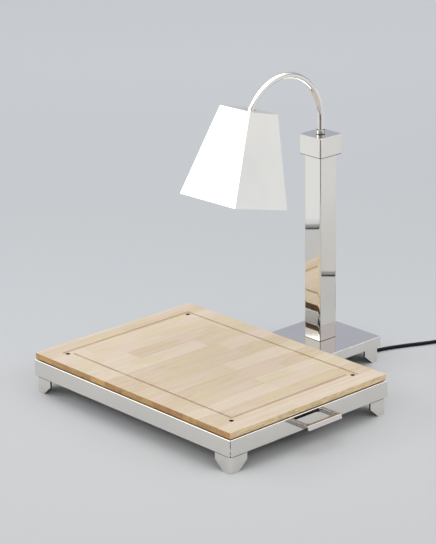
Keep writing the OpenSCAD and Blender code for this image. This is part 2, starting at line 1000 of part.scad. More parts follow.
module post() {
    inner_w = post_w - 2 * post_t;
    color(steel)
        at_lamp()
            translate([0, 0, lamp_top])
                difference() {
                    rounded_plate(post_w, post_w, post_h + cap_lap, post_corner_r);
                    translate([0, 0, -over])
                        rounded_plate(inner_w, inner_w, post_h + cap_lap + 2 * over, post_bore_r);
                }
}

module tie_pipe() {
    color(dark_steel)
        at_lamp()
            translate([0, 0, pipe_z])
                sleeve(spigot_z - pipe_z, pipe_r, pipe_bore_r);
}

module tie_washer() {
    color(steel)
        at_lamp()
            translate([0, 0, lamp_ceiling - tie_washer_h])
                sleeve(tie_washer_h, tie_washer_r, pipe_r + slip);
}

module tie_nut() {
    color(steel)
        at_lamp()
            translate([0, 0, lamp_ceiling - tie_washer_h - tie_nut_h])
                difference() {
                    cylinder(h = tie_nut_h, r = tie_nut_r, $fn = 6);
                    translate([0, 0, -over])
                        cylinder(h = tie_nut_h + 2 * over, r = pipe_r + run_fit);
                }
}

module post_cap() {
    pocket_w = post_w + 2 * slip;
    color(steel)
        at_lamp()
            difference() {
                translate([0, 0, cap_z])
                    rounded_plate(cap_w, cap_w, cap_h, cap_corner_r);
                translate([0, 0, cap_z - over])
                    rounded_plate(pocket_w, pocket_w, cap_lap + over, post_corner_r);
                translate([0, 0, cap_z])
                    cylinder(h = cap_h - over, r = pipe_r + run_fit);
                translate([0, 0, spigot_z])
                    cylinder(h = spigot_l + over, r = tube_r + run_fit);
                translate([0, 0, cap_top - set_screw_drop])
                    rotate([-90, 0, 0])
                        cylinder(h = cap_w, r = set_screw_r + run_fit);
            }
}

// Set screw from the back of the cap, which holds the arm
module arm_set_screw() {
    tip = tube_r + face_gap;
    color(dark_steel)
        at_lamp()
            translate([0, tip, cap_top - set_screw_drop])
                rotate([-90, 0, 0])
                    cylinder(h = cap_w / 2 - tip, r = set_screw_r);
}

// Arm

module arm_tube() {
    bore_r = tube_r - tube_t;
    color(steel) {
        at_arm()
            translate([0, 0, spigot_z + face_gap])
                sleeve(arch_z - spigot_z - face_gap, tube_r, bore_r);
        at_arm()
            translate([0, -arch_r, arch_z])
                rotate([90, 0, 90])
                    rotate_extrude(angle = arch_sweep)
                        translate([arch_r, 0])
                            difference() {
                                circle(r = tube_r);
                                circle(r = bore_r);
                            }
    }
}

module arm_collar() {
    bore_r = tube_r + run_fit;
    color(steel)
        at_arm()
            translate([0, 0, cap_top + face_gap])
                rotate_extrude()
                    polygon([
                        [bore_r, 0], [collar_r, 0], [collar_r, collar_h - collar_edge],
                        [collar_r - collar_edge, collar_h], [bore_r, collar_h]
                    ]);
}

// Fitting at the end of the tube, tapped on both sides for the tilt screws
module arm_end_fitting() {
    color(steel)
        at_bend(arch_sweep)
            difference() {
                rotate([-90, 0, 0])
                    sleeve(pivot_reach + fitting_tail, fitting_r, pipe_bore_r);
                translate([0, pivot_reach, 0])
                    for (side = [0, 1])
                        mirror([0, 0, side])
                            translate([0, 0, fitting_r - tilt_pin_bite])
                                cylinder(h = tilt_pin_bite + over, r = tilt_pin_r + run_fit);
            }
}

// Screws on the tilt axis: pins through the hanger's ears into the end fitting
module tilt_screws() {
    head_x = ear_x + ear_t + face_gap;
    pin_x = fitting_r - tilt_pin_bite;
    color(dark_steel)
        at_bend(arch_sweep)
            translate([0, pivot_reach, 0])
                for (side = [0, 1])
                    mirror([0, 0, side]) {
                        translate([0, 0, pin_x])
                            cylinder(h = head_x - pin_x, r = tilt_pin_r);
                        translate([0, 0, head_x])
                            cylinder(h = tilt_head_h, r = tilt_head_r);
                    }
}

// Flexible lead from the terminal block up the post and through the arm to the socket
module lamp_lead() {
    color(black)
        at_arm()
            path_tube(lead_path, lead_r, cord_sides, [1, 0, 0]);
}

// Shade, in a frame with its origin on the tilt axis

// Square frustum between two levels, with its half widths there
module frustum(low_z, low_half, high_z, high_half) {
    translate([0, 0, low_z])
        rotate([0, 0, 45])
            cylinder(h = high_z - low_z, r1 = low_half * sqrt(2), r2 = high_half * sqrt(2), $fn = 4);
}

module shade() {
    mouth_z = pivot_depth - shade_h;
    wall = shade_t * sqrt(1 + shade_slope_share * shade_slope_share);
    ceiling_z = pivot_depth - shade_t;
    color(steel)
        at_shade()
            difference() {
                frustum(mouth_z, shade_half(mouth_z), pivot_depth, shade_half(pivot_depth));
                frustum(mouth_z - over, shade_half(mouth_z - over) - wall,
                    ceiling_z, shade_half(ceiling_z) - wall);
                translate([0, 0, ceiling_z - over])
                    linear_extrude(shade_t + 2 * over) {
                        translate([-slot_w / 2, slot_from + slot_w / 2])
                            square([slot_w, slot_to - slot_from - slot_w]);
                        for (end = [slot_from + slot_w / 2, slot_to - slot_w / 2])
                            translate([0, end])
                                circle(r = slot_w / 2);
                    }
            }
}

// Strap bent to a U: two ears on the tilt axis, flanges under the shade's top, a bridge for the socket
module shade_hanger() {
    top_z = pivot_depth - shade_t;
    color(dark_steel)
        at_shade()
            difference() {
                union() {
                    for (side = [0, 1])
                        mirror([side, 0, 0]) {
                            translate([ear_x, -ear_w / 2, bridge_z - ear_t])
                                cube([ear_t, ear_w, top_z - bridge_z + ear_t]);
                            translate([ear_x, -ear_w / 2, top_z - ear_t])
                                cube([ear_t + hanger_flange, ear_w, ear_t]);
                        }
                    translate([-ear_x - ear_t, -bridge_w / 2, bridge_z - ear_t])
                        cube([2 * (ear_x + ear_t), bridge_w, ear_t]);
                }
                rotate([0, 90, 0])
                    cylinder(h = 4 * (ear_x + ear_t), r = tilt_pin_r + run_fit, center = true);
                translate([0, 0, bridge_z - ear_t - over]) {
                    cylinder(h = ear_t + 2 * over, r = bridge_hole_r);
                    for (side = [-1, 1])
                        translate([0, side * socket_screw_y, 0])
                            cylinder(h = ear_t + 2 * over, r = socket_screw_r + slip);
                }
            }
}

module socket_screws() {
    color(steel)
        at_shade()
            for (side = [-1, 1])
                translate([0, side * socket_screw_y, 0]) {
                    translate([0, 0, bridge_z])
                        cylinder(h = screw_head_h / 2, r = handle_head_r);
                    translate([0, 0, socket_z - socket_screw_l])
                        cylinder(h = socket_screw_l + ear_t, r = socket_screw_r);
                }
}

module lamp_socket() {
    color(porcelain)
        at_shade()
            difference() {
                translate([0, 0, socket_z - socket_len])
                    cylinder(h = socket_len, r = socket_d / 2);
                translate([0, 0, socket_z - socket_len - over])
                    cylinder(h = socket_bore_len + over, r = bulb_base_d / 2 + bulb_slack);
                for (side = [-1, 1])
                    translate([0, side * socket_screw_y, socket_z - socket_screw_l - slip])
                        cylinder(h = socket_screw_l + over, r = socket_screw_r + slip);
            }
}

module socket_contact() {
    color(brass)
        at_shade()
            translate([0, 0, bulb_top])
                cylinder(h = contact_t, r = contact_r);
}

// Screw base of the bulb, with rounded ridges and a narrower tip
module bulb_base() {
    body_len = bulb_base_len - bulb_tip_len;
    ridge_points = [for (i = [0 : 8 * thread_ridges])
        [neck_r - thread_d * (1 - cos(45 * i)) / 2, body_len * i / (8 * thread_ridges)]];
    color(brass)
        at_shade()
            translate([0, 0, neck_z])
                rotate_extrude()
                    polygon(concat(
                        [[0, 0]], ridge_points,
                        [[contact_r, bulb_base_len], [0, bulb_base_len]]
                    ));
}

// Outline of the bulb's glass from the neck down to the face, drawn in by a wall
function glass_outline(wall) =
    let(
        r = bulb_d / 2 - wall,
        n = neck_r - wall,
        face_len = bulb_len * face_share,
        flare_len = bulb_len - neck_len - face_len
    )
    concat(
        [[n, 0]],
        [for (i = [0 : 10]) [n + (r - n) * (1 - cos(18 * i)) / 2, -neck_len - flare_len * i / 10]],
        [for (i = [1 : 9]) [r * cos(9 * i), -neck_len - flare_len - (face_len - wall) * sin(9 * i)]],
        [[0, -bulb_len + wall]]
    );

module bulb_glass() {
    inner = glass_outline(glass_t);
    color("mistyrose")
        at_shade()
            translate([0, 0, neck_z])
                rotate_extrude()
                    polygon(concat(glass_outline(0), [for (i = [len(inner) - 1 : -1 : 0]) inner[i]]));
}

// Cord

module cord_lead() {
    color(black)
        at_lamp()
            path_tube(cord_route, cord_r, cord_sides, [0, 0, 1]);
}

module cord_coil() {
    color(black)
        at_lamp()
            path_tube(coil_path, cord_r, coil_sides, [0, 0, 1]);
}

// Band round both layers of the coil, half a turn after the cord enters it
module cord_tie() {
    inner_from_r = coil_min_r + tie_in_turns * coil_pitch - cord_r - tie_side_gap;
    inner_to_r = coil_min_r + tie_out_turns * coil_pitch + cord_r + tie_side_gap;
    inner_l = inner_to_r - inner_from_r;
    inner_h = coil_pitch + cord_d + 2 * tie_gap;
    color("slategray")
        at_lamp()
            translate([coil_mid.x, coil_mid.y, coil_low_z + coil_pitch / 2])
                rotate([0, 0, tie_turn])
                    translate([(inner_from_r + inner_to_r) / 2, tie_w / 2, 0])
                        rotate([90, 0, 0])
                            linear_extrude(tie_w)
                                difference() {
                                    rounded_rect(inner_l + 2 * tie_t, inner_h + 2 * tie_t, tie_corner_r);
                                    rounded_rect(inner_l, inner_h, tie_corner_r - tie_t);
                                }
}

// Frame of the plug: origin where the cord ends, Z along the cord's way
module at_plug() {
    at_lamp()
        translate(plug_at)
            rotate([0, 0, coil_exit_turn])
                rotate([0, 90, 0])
                    children();
}

module plug_body() {
    nose_z = plug_boot_len + plug_len;
    color(black)
        at_plug()
            rotate_extrude()
                polygon([
                    [0, 0], [plug_boot_r, 0], [plug_boot_end_r, plug_boot_len],
                    [plug_r - plug_round, plug_boot_len], [plug_r, plug_boot_len + plug_round],
                    [plug_r, nose_z], [0, nose_z]
                ]);
}

module plug_blades() {
    nose_z = plug_boot_len + plug_len;
    color(brass)
        at_plug()
            translate([0, 0, nose_z]) {
                for (side = [-1, 1])
                    translate([-blade_up, side * blade_apart / 2, 0])
                        block(blade_w, blade_t, blade_len);
                translate([earth_drop, 0, 0])
                    cylinder(h = earth_len, r = earth_r);
            }
}

echo(coil_least_gap = coil_least_gap(coil_path, coil_steps / 2));
echo(cord_length = path_len(cord_route) + path_len(coil_path));

frame();
foot_front_left();
foot_front_right();
foot_back_left();
foot_back_right();
foot_screws();
handle_left();
handle_right();
handle_screws();
drip_pan();
pan_side_front();
pan_side_back();
pan_end_left();
pan_end_right();
carving_board();
lamp_base_shell();
ballast_plate();
lamp_base_cover();
cover_spacers();
lamp_foot_front_left();
lamp_foot_front_right();
lamp_foot_back_left();
lamp_foot_back_right();
lamp_foot_screws();
terminal_block();
supply_wires();
switch_housing();
switch_rocker();
strain_relief();
gland_nut();
post_locator();
post();
tie_pipe();
tie_nut();
tie_washer();
post_cap();
arm_set_screw();
arm_tube();
arm_collar();
arm_end_fitting();
tilt_screws();
lamp_lead();
shade();
shade_hanger();
socket_screws();
lamp_socket();
socket_contact();
bulb_base();
bulb_glass();
cord_lead();
cord_coil();
cord_tie();
plug_body();
plug_blades();
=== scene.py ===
"""Dresses the solids of a heated carving station: soft edges, finishes, mains cord and studio."""

import json
import math

import bmesh
import bpy
from bpy.props import FloatProperty, FloatVectorProperty, PointerProperty
from mathutils import Matrix, Vector


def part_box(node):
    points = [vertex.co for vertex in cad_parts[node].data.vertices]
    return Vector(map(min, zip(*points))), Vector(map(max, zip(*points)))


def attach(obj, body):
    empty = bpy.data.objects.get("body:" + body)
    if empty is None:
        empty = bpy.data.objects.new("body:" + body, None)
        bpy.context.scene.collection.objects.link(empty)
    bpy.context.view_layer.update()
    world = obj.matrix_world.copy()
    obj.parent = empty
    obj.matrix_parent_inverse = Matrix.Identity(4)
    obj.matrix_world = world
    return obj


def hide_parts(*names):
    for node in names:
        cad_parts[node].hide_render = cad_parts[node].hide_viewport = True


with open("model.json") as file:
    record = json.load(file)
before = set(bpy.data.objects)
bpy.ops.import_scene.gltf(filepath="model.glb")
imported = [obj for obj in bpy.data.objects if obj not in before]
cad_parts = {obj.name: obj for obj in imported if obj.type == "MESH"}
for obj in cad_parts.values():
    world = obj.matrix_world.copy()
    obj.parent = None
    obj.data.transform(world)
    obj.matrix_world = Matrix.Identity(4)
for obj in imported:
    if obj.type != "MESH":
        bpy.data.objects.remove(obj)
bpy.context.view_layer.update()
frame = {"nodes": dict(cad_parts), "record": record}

bl_info = {
    "name": "Heated carving station",
    "version": (1, 0, 0),
    "blender": (4, 5, 0),
    "location": "3D View > Sidebar > Carving Station",
    "description": "Dresses the solids of a heated carving station",
    "category": "Object",
}


def halved(low, high):
    """Middle and half size of a box"""
    return (low + high) / 2, (high - low) / 2


MM = 0.001
CORNERS = ("front_left", "front_right", "back_left", "back_right")
BODY_OF = {node: body for body, nodes in frame["record"]["behaviour"]["bodies"].items() for node in nodes}
SLOT_OF = {name: node.data.materials[0].name for name, node in frame["nodes"].items()}
FRAME_LOW, FRAME_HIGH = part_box("frame")
FRAME_MID, FRAME_HALF = halved(FRAME_LOW, FRAME_HIGH)
BOARD_LOW, BOARD_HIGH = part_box("carving_board")
BOARD_MID, BOARD_HALF = halved(BOARD_LOW, BOARD_HIGH)
STAND_LOW, STAND_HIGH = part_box("lamp_base_shell")
STAND_MID, STAND_HALF = halved(STAND_LOW, STAND_HIGH)
POST_LOW, POST_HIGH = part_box("post")
POST_MID, POST_HALF = halved(POST_LOW, POST_HIGH)
CAP_LOW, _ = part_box("post_cap")
COLLAR_LOW, COLLAR_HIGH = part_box("arm_collar")


# Settings

def colour(name, description, default):
    return FloatVectorProperty(name=name, description=description, default=default, subtype="COLOR",
                               size=3, min=0.0, max=1.0)


def length(name, description, default):
    return FloatProperty(name=name, description=description, default=default, min=0.0, unit="LENGTH")


def share(name, description, default):
    return FloatProperty(name=name, description=description, default=default, min=0.0, max=1.0,
                         subtype="FACTOR")


def angle(name, description, degrees):
    return FloatProperty(name=name, description=description, default=math.radians(degrees), subtype="ANGLE")


def power(name, description, watts):
    return FloatProperty(name=name, description=description, default=watts, min=0.0, unit="POWER")


class SteelSettings(bpy.types.PropertyGroup):
    """Polished and plain steel"""
    mirror: colour("Mirror steel", "Tint of the polished sheet", (0.84, 0.815, 0.77))
    satin: colour("Satin steel", "Tint of the drip pan", (0.62, 0.62, 0.61))
    plating: colour("Plating", "Tint of screws and fittings", (0.70, 0.70, 0.68))
    polish: share("Polish", "Roughness of the mirror finish", 0.025)
    fold: length("Fold radius", "Rounding of the folded sheet's outside edges", 1.6 * MM)
    edge: length("Edge radius", "Rounding of cut and cast edges", 0.8 * MM)


class BoardSettings(bpy.types.PropertyGroup):
    """Maple carving board"""
    pale: colour("Pale maple", "Colour of the lightest staves", (0.675, 0.583, 0.472))
    warm: colour("Warm maple", "Colour of the darkest staves", (0.53, 0.405, 0.265))
    end_grain: colour("End grain", "Colour of the sawn ends of the staves", (0.80, 0.467, 0.182))
    side: colour("Long edges", "Colour of the board's oiled long edges", (0.89, 0.674, 0.399))
    stave: length("Stave width", "Usual width of a stave", 46 * MM)
    groove_inset: length("Groove inset", "From the board's edge to the middle of the groove", 49 * MM)
    drain: length("Drain radius", "Radius of the holes in the groove's corners", 5 * MM)
    edge: length("Edge radius", "Rounding of the board's edges", 1.0 * MM)
    groove_edge: length("Groove edge radius", "Rounding of the juice groove's edges", 0.5 * MM)


class TrimSettings(bpy.types.PropertyGroup):
    """Plastic, rubber, brass, china and glass"""
    black: colour("Black plastic", "Colour of the moulded black pieces", (0.018, 0.018, 0.019))
    red: colour("Red plastic", "Colour of the switch rocker", (0.52, 0.03, 0.02))
    rubber: colour("Cord rubber", "Colour of the mains cord", (0.005, 0.005, 0.006))
    brass: colour("Brass", "Colour of the contacts", (0.83, 0.62, 0.27))
    china: colour("China", "Colour of the lamp socket", (0.86, 0.84, 0.79))
    glass: colour("Frosted glass", "Colour of the heat bulb", (0.93, 0.90, 0.86))


class CordSettings(bpy.types.PropertyGroup):
    """Mains cord"""
    diameter: length("Diameter", "Thickness of the cord", 8 * MM)
    pitch: length("Coil pitch", "Step from one turn of the coil to the next", 8.6 * MM)
    inside: length("Coil radius inside", "Radius of the coil's smallest turn", 34.5 * MM)


class StageSettings(bpy.types.PropertyGroup):
    """Camera, floor and lamps"""
    azimuth: angle("Azimuth", "Turn of the camera round the station", 47.485)
    elevation: angle("Elevation", "Height of the camera as an angle", 19.244)
    roll: angle("Roll", "Lean of the camera", -0.794)
    distance: length("Distance", "Camera to its aim", 5.498045)
    lens: FloatProperty(name="Lens", description="Focal length on a 36 mm film", default=148.288,
                        unit="CAMERA")
    aim: FloatVectorProperty(name="Aim", description="Point aimed at, from the middle of the carving base",
                             default=(-0.595408, 0.577038, 0.0), subtype="TRANSLATION", unit="LENGTH")
    floor: colour("Floor", "Colour of the paper floor in front", (0.568, 0.577, 0.590))
    middle: colour("Floor, middle", "Colour of the paper floor under the station", (0.549, 0.576, 0.601))
    far: colour("Floor, far", "Colour of the paper floor far behind", (0.676, 0.700, 0.745))
    backdrop: colour("Backdrop", "Colour of the far wall", (0.517, 0.547, 0.612))
    overhead: power("Overhead lamp", "Power of the soft lamp above", 19.0)
    panel: power("Side panel", "Power of the soft panel at the left", 7.2)


# Shading

def grey(level):
    return (level, level, level)


def opaque(tint):
    """A plain colour with the alpha that its socket wants, or a linked colour as it is"""
    return tint if isinstance(tint, Flow) else (*tint, 1.0)


class Flow:
    """A socket of a node tree on which sums are written as Python expressions"""

    def __init__(self, sheet, socket):
        self.sheet = sheet
        self.socket = socket

    def math(self, operation, *terms):
        return self.sheet.node("ShaderNodeMath", {"operation": operation}, dict(enumerate(terms)))

    def __add__(self, other):
        return self.math("ADD", self, other)

    def __radd__(self, other):
        return self.math("ADD", other, self)

    def __sub__(self, other):
        return self.math("SUBTRACT", self, other)

    def __rsub__(self, other):
        return self.math("SUBTRACT", other, self)

    def __mul__(self, other):
        return self.math("MULTIPLY", self, other)

    def __rmul__(self, other):
        return self.math("MULTIPLY", other, self)

    def __truediv__(self, other):
        return self.math("DIVIDE", self, other)

    def __rtruediv__(self, other):
        return self.math("DIVIDE", other, self)

    def __pow__(self, other):
        return self.math("POWER", self, other)

    def __rpow__(self, other):
        return self.math("POWER", other, self)

    def __or__(self, other):
        """The larger of the two"""
        return self.math("MAXIMUM", self, other)

    def __ror__(self, other):
        return self.math("MAXIMUM", other, self)

    def __abs__(self):
        return self.math("ABSOLUTE", self)

    def __floor__(self):
        return self.math("FLOOR", self)

    def rise(self, low, high):
        """0 at low, 1 at high, smooth between them"""
        return self.sheet.node("ShaderNodeMapRange", {"interpolation_type": "SMOOTHSTEP"},
                               {"Value": self, "From Min": low, "From Max": high})

    def fall(self, low, high):
        """1 at low, 0 at high, smooth between them"""
        return 1.0 - self.rise(low, high)


class Sheet:
    """The node tree of a finish or of the world"""

    MIX_FACTOR, MIX_A, MIX_B, MIX_RESULT = 0, 6, 7, 2  # the Mix node's sockets for colours

    def __init__(self, owner, output):
        owner.use_nodes = True
        self.owner = owner
        self.tree = owner.node_tree
        self.tree.nodes.clear()
        self.output = self.tree.nodes.new(output)

    def node(self, kind, settings=None, sockets=None, out=0):
        """Adds a node: its settings first, then the values or links of its sockets"""
        made = self.tree.nodes.new(kind)
        for key, value in (settings or {}).items():
            if key == "stops":
                self.set_stops(made.color_ramp, value)
            else:
                setattr(made, key, value)
        for key, value in (sockets or {}).items():
            if isinstance(value, Flow):
                self.tree.links.new(value.socket, made.inputs[key])
            else:
                made.inputs[key].default_value = value
        return Flow(self, made.outputs[out])

    @staticmethod
    def set_stops(ramp, stops):
        while len(ramp.elements) < len(stops):
            ramp.elements.new(1.0)
        for element, (position, tone) in zip(ramp.elements, stops):
            element.position = position
            element.color = opaque(tone)

    def place(self):
        return self.node("ShaderNodeTexCoord", out="Object")

    def split(self, vector):
        apart = self.node("ShaderNodeSeparateXYZ", None, {"Vector": vector})
        return [Flow(self, socket) for socket in apart.socket.node.outputs]

    def facing(self):
        """The three parts of the direction that the surface faces"""
        return self.split(self.node("ShaderNodeNewGeometry", out="Normal"))

    def ray(self, kind):
        return self.node("ShaderNodeLightPath", out=kind)

    def join(self, x, y, z):
        return self.node("ShaderNodeCombineXYZ", None, {"X": x, "Y": y, "Z": z})

    def stretch(self, vector, scales):
        return self.node("ShaderNodeVectorMath", {"operation": "MULTIPLY"}, {0: vector, 1: scales})

    def shift(self, vector, by):
        return self.node("ShaderNodeVectorMath", {"operation": "ADD"}, {0: vector, 1: by})

    def noise(self, vector, scale=1.0, detail=2.0, rough=0.5, warp=0.0):
        return self.node("ShaderNodeTexNoise", None,
                         {"Vector": vector, "Scale": scale, "Detail": detail, "Roughness": rough,
                          "Distortion": warp})

    def streaks(self, vector, scales, detail=2.0, rough=0.5):
        """Noise with a scale of its own along each axis"""
        return self.noise(self.stretch(vector, scales), 1.0, detail, rough)

    def mix(self, amount, a, b, blend="MIX"):
        """Colour a where amount is 0, colour b where it is 1"""
        return self.node("ShaderNodeMix", {"data_type": "RGBA", "blend_type": blend},
                         {self.MIX_FACTOR: amount, self.MIX_A: opaque(a), self.MIX_B: opaque(b)},
                         out=self.MIX_RESULT)

    def mix_shader(self, amount, a, b):
        return self.node("ShaderNodeMixShader", None, {0: amount, 1: a, 2: b})

    def emission(self, tint):
        return self.node("ShaderNodeEmission", None, {"Color": opaque(tint)})

    def bump(self, height, distance):
        return self.node("ShaderNodeBump", None, {"Height": height, "Distance": distance, "Strength": 1.0})

    def close(self, shader):
        self.tree.links.new(shader.socket, self.output.inputs["Surface"])
        return self.owner

    def principled(self, sockets):
        return self.close(self.node("ShaderNodeBsdfPrincipled", None, sockets))


def finish(name):
    return Sheet(bpy.data.materials.new(name), "ShaderNodeOutputMaterial")


# Steel

BUFFED = (30.0, 30.0, 1500.0)  # lines round a small piece
ROLLED = (25.0, 25.0, 1400.0)  # lines along a folded sheet
DRAWN = (1100.0, 1100.0, 12.0)  # lines up a tube
# Dark colour of seam lines, also used for painted shade at box corners and pan ends; dark colour of painted
# shade lines where pieces meet
SEAM_AND_SHADE_DARK, SHADE_LINE_DARK = (0.05, 0.045, 0.04), (0.06, 0.055, 0.05)
# Painted shade on a handle's faces that don't look outwards
HANDLE_SIDE_SHADE = (0.16, 0.15, 0.13)
# Painted shade: near black on inward faces of handles and feet, dark on the drip pan's underside
INNER_SHADE, UNDER_SHADE = grey(0.02), grey(0.04)
UNPOLISHED = 0.3  # added roughness
# Reach of the seam lines, and reach and height of the painted shadow at a box's lower corners
SEAM, CORNER_SHADOW_REACH, CORNER_SHADOW_HEIGHT = (0.9 * MM, 1.6 * MM), (1.8 * MM, 3.0 * MM), (1.5 * MM, 3.5 * MM)
WAVE_HEIGHT, LINE_HEIGHT = 0.7 * MM, 0.003 * MM
PILLOW_FAR, PILLOW_NEAR = 8 * MM, 4 * MM
POST_LEAN = 0.0155
CROWN_DEPTH, CROWN_FRONT = 2.6 * MM, (1 * MM, 3 * MM)
# Insets between which the painted shade at the drip pan's ends begins
PAN_END = (12 * MM, 9 * MM)


def mirror_steel(name, lay, seams=None, pillow=None, joints=(), crown=None, shaded_handle=False, feet_middle=None):
    """Polished sheet: faint buffing lines along lay, cloudy wipe marks and slight waves.
    seams = (middle, half size) darkens the four upright folds of a box as seam lines and paints shadow at its
    lower corners;
    pillow = (middle, half size) eases a square tube's faces off towards its corners and leans its front;
    joints = (height, reach) of painted shade lines where another piece meets the sheet;
    crown = (front, top) leans the front wall back a little under its top fold;
    shaded_handle paints shade on the faces of a handle that turn from outwards, near black on those that look
    inwards;
    feet_middle = middle of four feet, whose inner faces are painted near black as shade and made rougher."""
    steel = bpy.context.scene.station_steel
    sheet = finish(name)
    place = sheet.place()
    x, y, z = sheet.split(place)
    lines = sheet.streaks(place, lay, 3.0, 0.6)
    clouds = sheet.noise(place, 11.0, 3.0, 0.55)
    waves = sheet.noise(place, 5.0, 1.0)
    height = waves * WAVE_HEIGHT + lines * LINE_HEIGHT
    tone = sheet.mix(clouds.rise(0.35, 0.75) * 0.35 + lines * 0.25, steel.mirror, 0.9 * steel.mirror)
    rough = steel.polish + clouds.rise(0.45, 0.8) * 0.025 + lines.rise(0.4, 0.8) * 0.02
    if seams:
        middle, half = seams
        away = abs(abs(x - middle.x) - half.x) | abs(abs(y - middle.y) - half.y)
        broken = sheet.streaks(place, (1.0, 1.0, 260.0), 1.0)
        seam = away.fall(*SEAM) * broken.rise(0.30, 0.52)
        # Painted shadow at the box's lower corners
        corner_shadow = away.fall(*CORNER_SHADOW_REACH) * (z - (middle.z - half.z)).fall(*CORNER_SHADOW_HEIGHT)
        dark = seam * 0.88 | corner_shadow * 0.9
        tone = sheet.mix(dark, tone, SEAM_AND_SHADE_DARK)
        rough = rough + dark * UNPOLISHED
    if pillow:
        middle, half = pillow
        far_x = (x - (middle.x + half.x - PILLOW_FAR)) | 0.0
        far_y = (y - (middle.y + half.y - PILLOW_FAR)) | 0.0
        near_x = ((middle.x - half.x + PILLOW_NEAR) - x) | 0.0
        height = height - far_x * far_x * 7.0 - far_y * far_y * 9.0 - near_x * near_x * 22.0
        _, along, _ = sheet.facing()
        height = height + z * along.rise(-0.5, -0.9) * POST_LEAN
    if crown:
        front, top = crown
        ease = (z - (top - CROWN_DEPTH)) | 0.0
        height = height - ease * ease * (y - front).fall(*CROWN_FRONT) * 46.0
    # Painted shade: a dark line where another piece meets the sheet
    for level, reach in joints:
        line = abs(z - level).fall(0.6 * reach, 1.2 * reach)
        tone = sheet.mix(line * 0.9, tone, SHADE_LINE_DARK)
    if shaded_handle:
        # Painted shade: darker on faces that turn from outwards, near black on faces that look inwards
        across, _, _ = sheet.facing()
        outward = across * x * (1.0 / FRAME_HIGH.x)
        tone = sheet.mix(outward.fall(0.4, 0.8) * 0.55, tone, HANDLE_SIDE_SHADE)
        tone = sheet.mix(outward.fall(-0.8, -0.4) * 0.92, tone, INNER_SHADE)
    if feet_middle is not None:
        across, along, _ = sheet.facing()
        outward = across * (x - feet_middle.x) | along * (y - feet_middle.y)
        # Painted shade: near black, rougher inner faces of the feet
        inner = outward.fall(0.01, 0.05)
        tone = sheet.mix(inner * 0.92, tone, INNER_SHADE)
        rough = rough + inner * UNPOLISHED
    return sheet.principled({"Base Color": tone, "Metallic": 1.0, "Roughness": rough,
                             "Normal": sheet.bump(height, 1.0)})


def satin_steel(name):
    """Drip pan: drawn sheet with a dull brushed inside and a few drag marks, with painted shade on its ends
    and its underside
    """
    steel = bpy.context.scene.station_steel
    sheet = finish(name)
    place = sheet.place()
    brush = sheet.streaks(place, (14.0, 900.0, 900.0), 3.0, 0.6)
    marks = sheet.noise(place, 26.0, 4.0, 0.6, 0.6)
    tone = sheet.mix(brush * 0.6 + marks.rise(0.5, 0.8) * 0.4, steel.satin, 0.72 * steel.satin)
    x, _, _ = sheet.split(place)
    # Painted shade: dark ends of the pan
    ends = abs(x).rise(*(FRAME_HIGH.x - inset for inset in PAN_END))
    tone = sheet.mix(ends * 0.93, tone, SEAM_AND_SHADE_DARK)
    # Painted shade: dark underside
    _, _, upward = sheet.facing()
    tone = sheet.mix(upward.fall(-0.8, -0.4) * 0.85, tone, UNDER_SHADE)
    return sheet.principled({"Base Color": tone, "Metallic": 1.0,
                             "Roughness": 0.26 + brush * 0.14 + marks * 0.08,
                             "Normal": sheet.bump(brush, 0.04 * MM)})


def plated_steel(name, tint, rough):
    """Turned and plated pieces: fine lathe rings and dull patches in the plating"""
    sheet = finish(name)
    place = sheet.place()
    rings = sheet.streaks(place, (300.0, 300.0, 2600.0))
    dull = sheet.noise(place, 130.0, 4.0, 0.6)
    tone = sheet.mix(dull.rise(0.35, 0.75), tint, 0.66 * tint)
    return sheet.principled({"Base Color": tone, "Metallic": 1.0,
                             "Roughness": rough + dull.rise(0.3, 0.8) * 0.2 + rings * 0.05,
                             "Normal": sheet.bump(rings + dull * 0.5, 0.03 * MM)})


# Maple

STAVE_START, STAVE_SPREAD = 7.1 * MM, 0.55
PINK_CAST, OLIVE_CAST, RED_STAIN = (0.66, 0.525, 0.445), (0.605, 0.515, 0.325), (0.52, 0.20, 0.075)
# Painted shade on the board's back end
BACK_END_SHADE = (0.19, 0.165, 0.14)  # share of its colour that the back end keeps
# Painted shade inside the drain holes
DRAIN_SHADE = (0.008, 0.005, 0.003)
OUTER_FACE = (12 * MM, 8 * MM)  # insets between which a face starts to count as an outer one
STEEP = (0.6, 0.85)
GROOVE_DEEP, GROOVE_SIDE, GROOVE_END = (-0.8 * MM, -0.3 * MM), (3 * MM, 4 * MM), (3 * MM, 6 * MM)
DRAIN_EDGE = 0.4 * MM


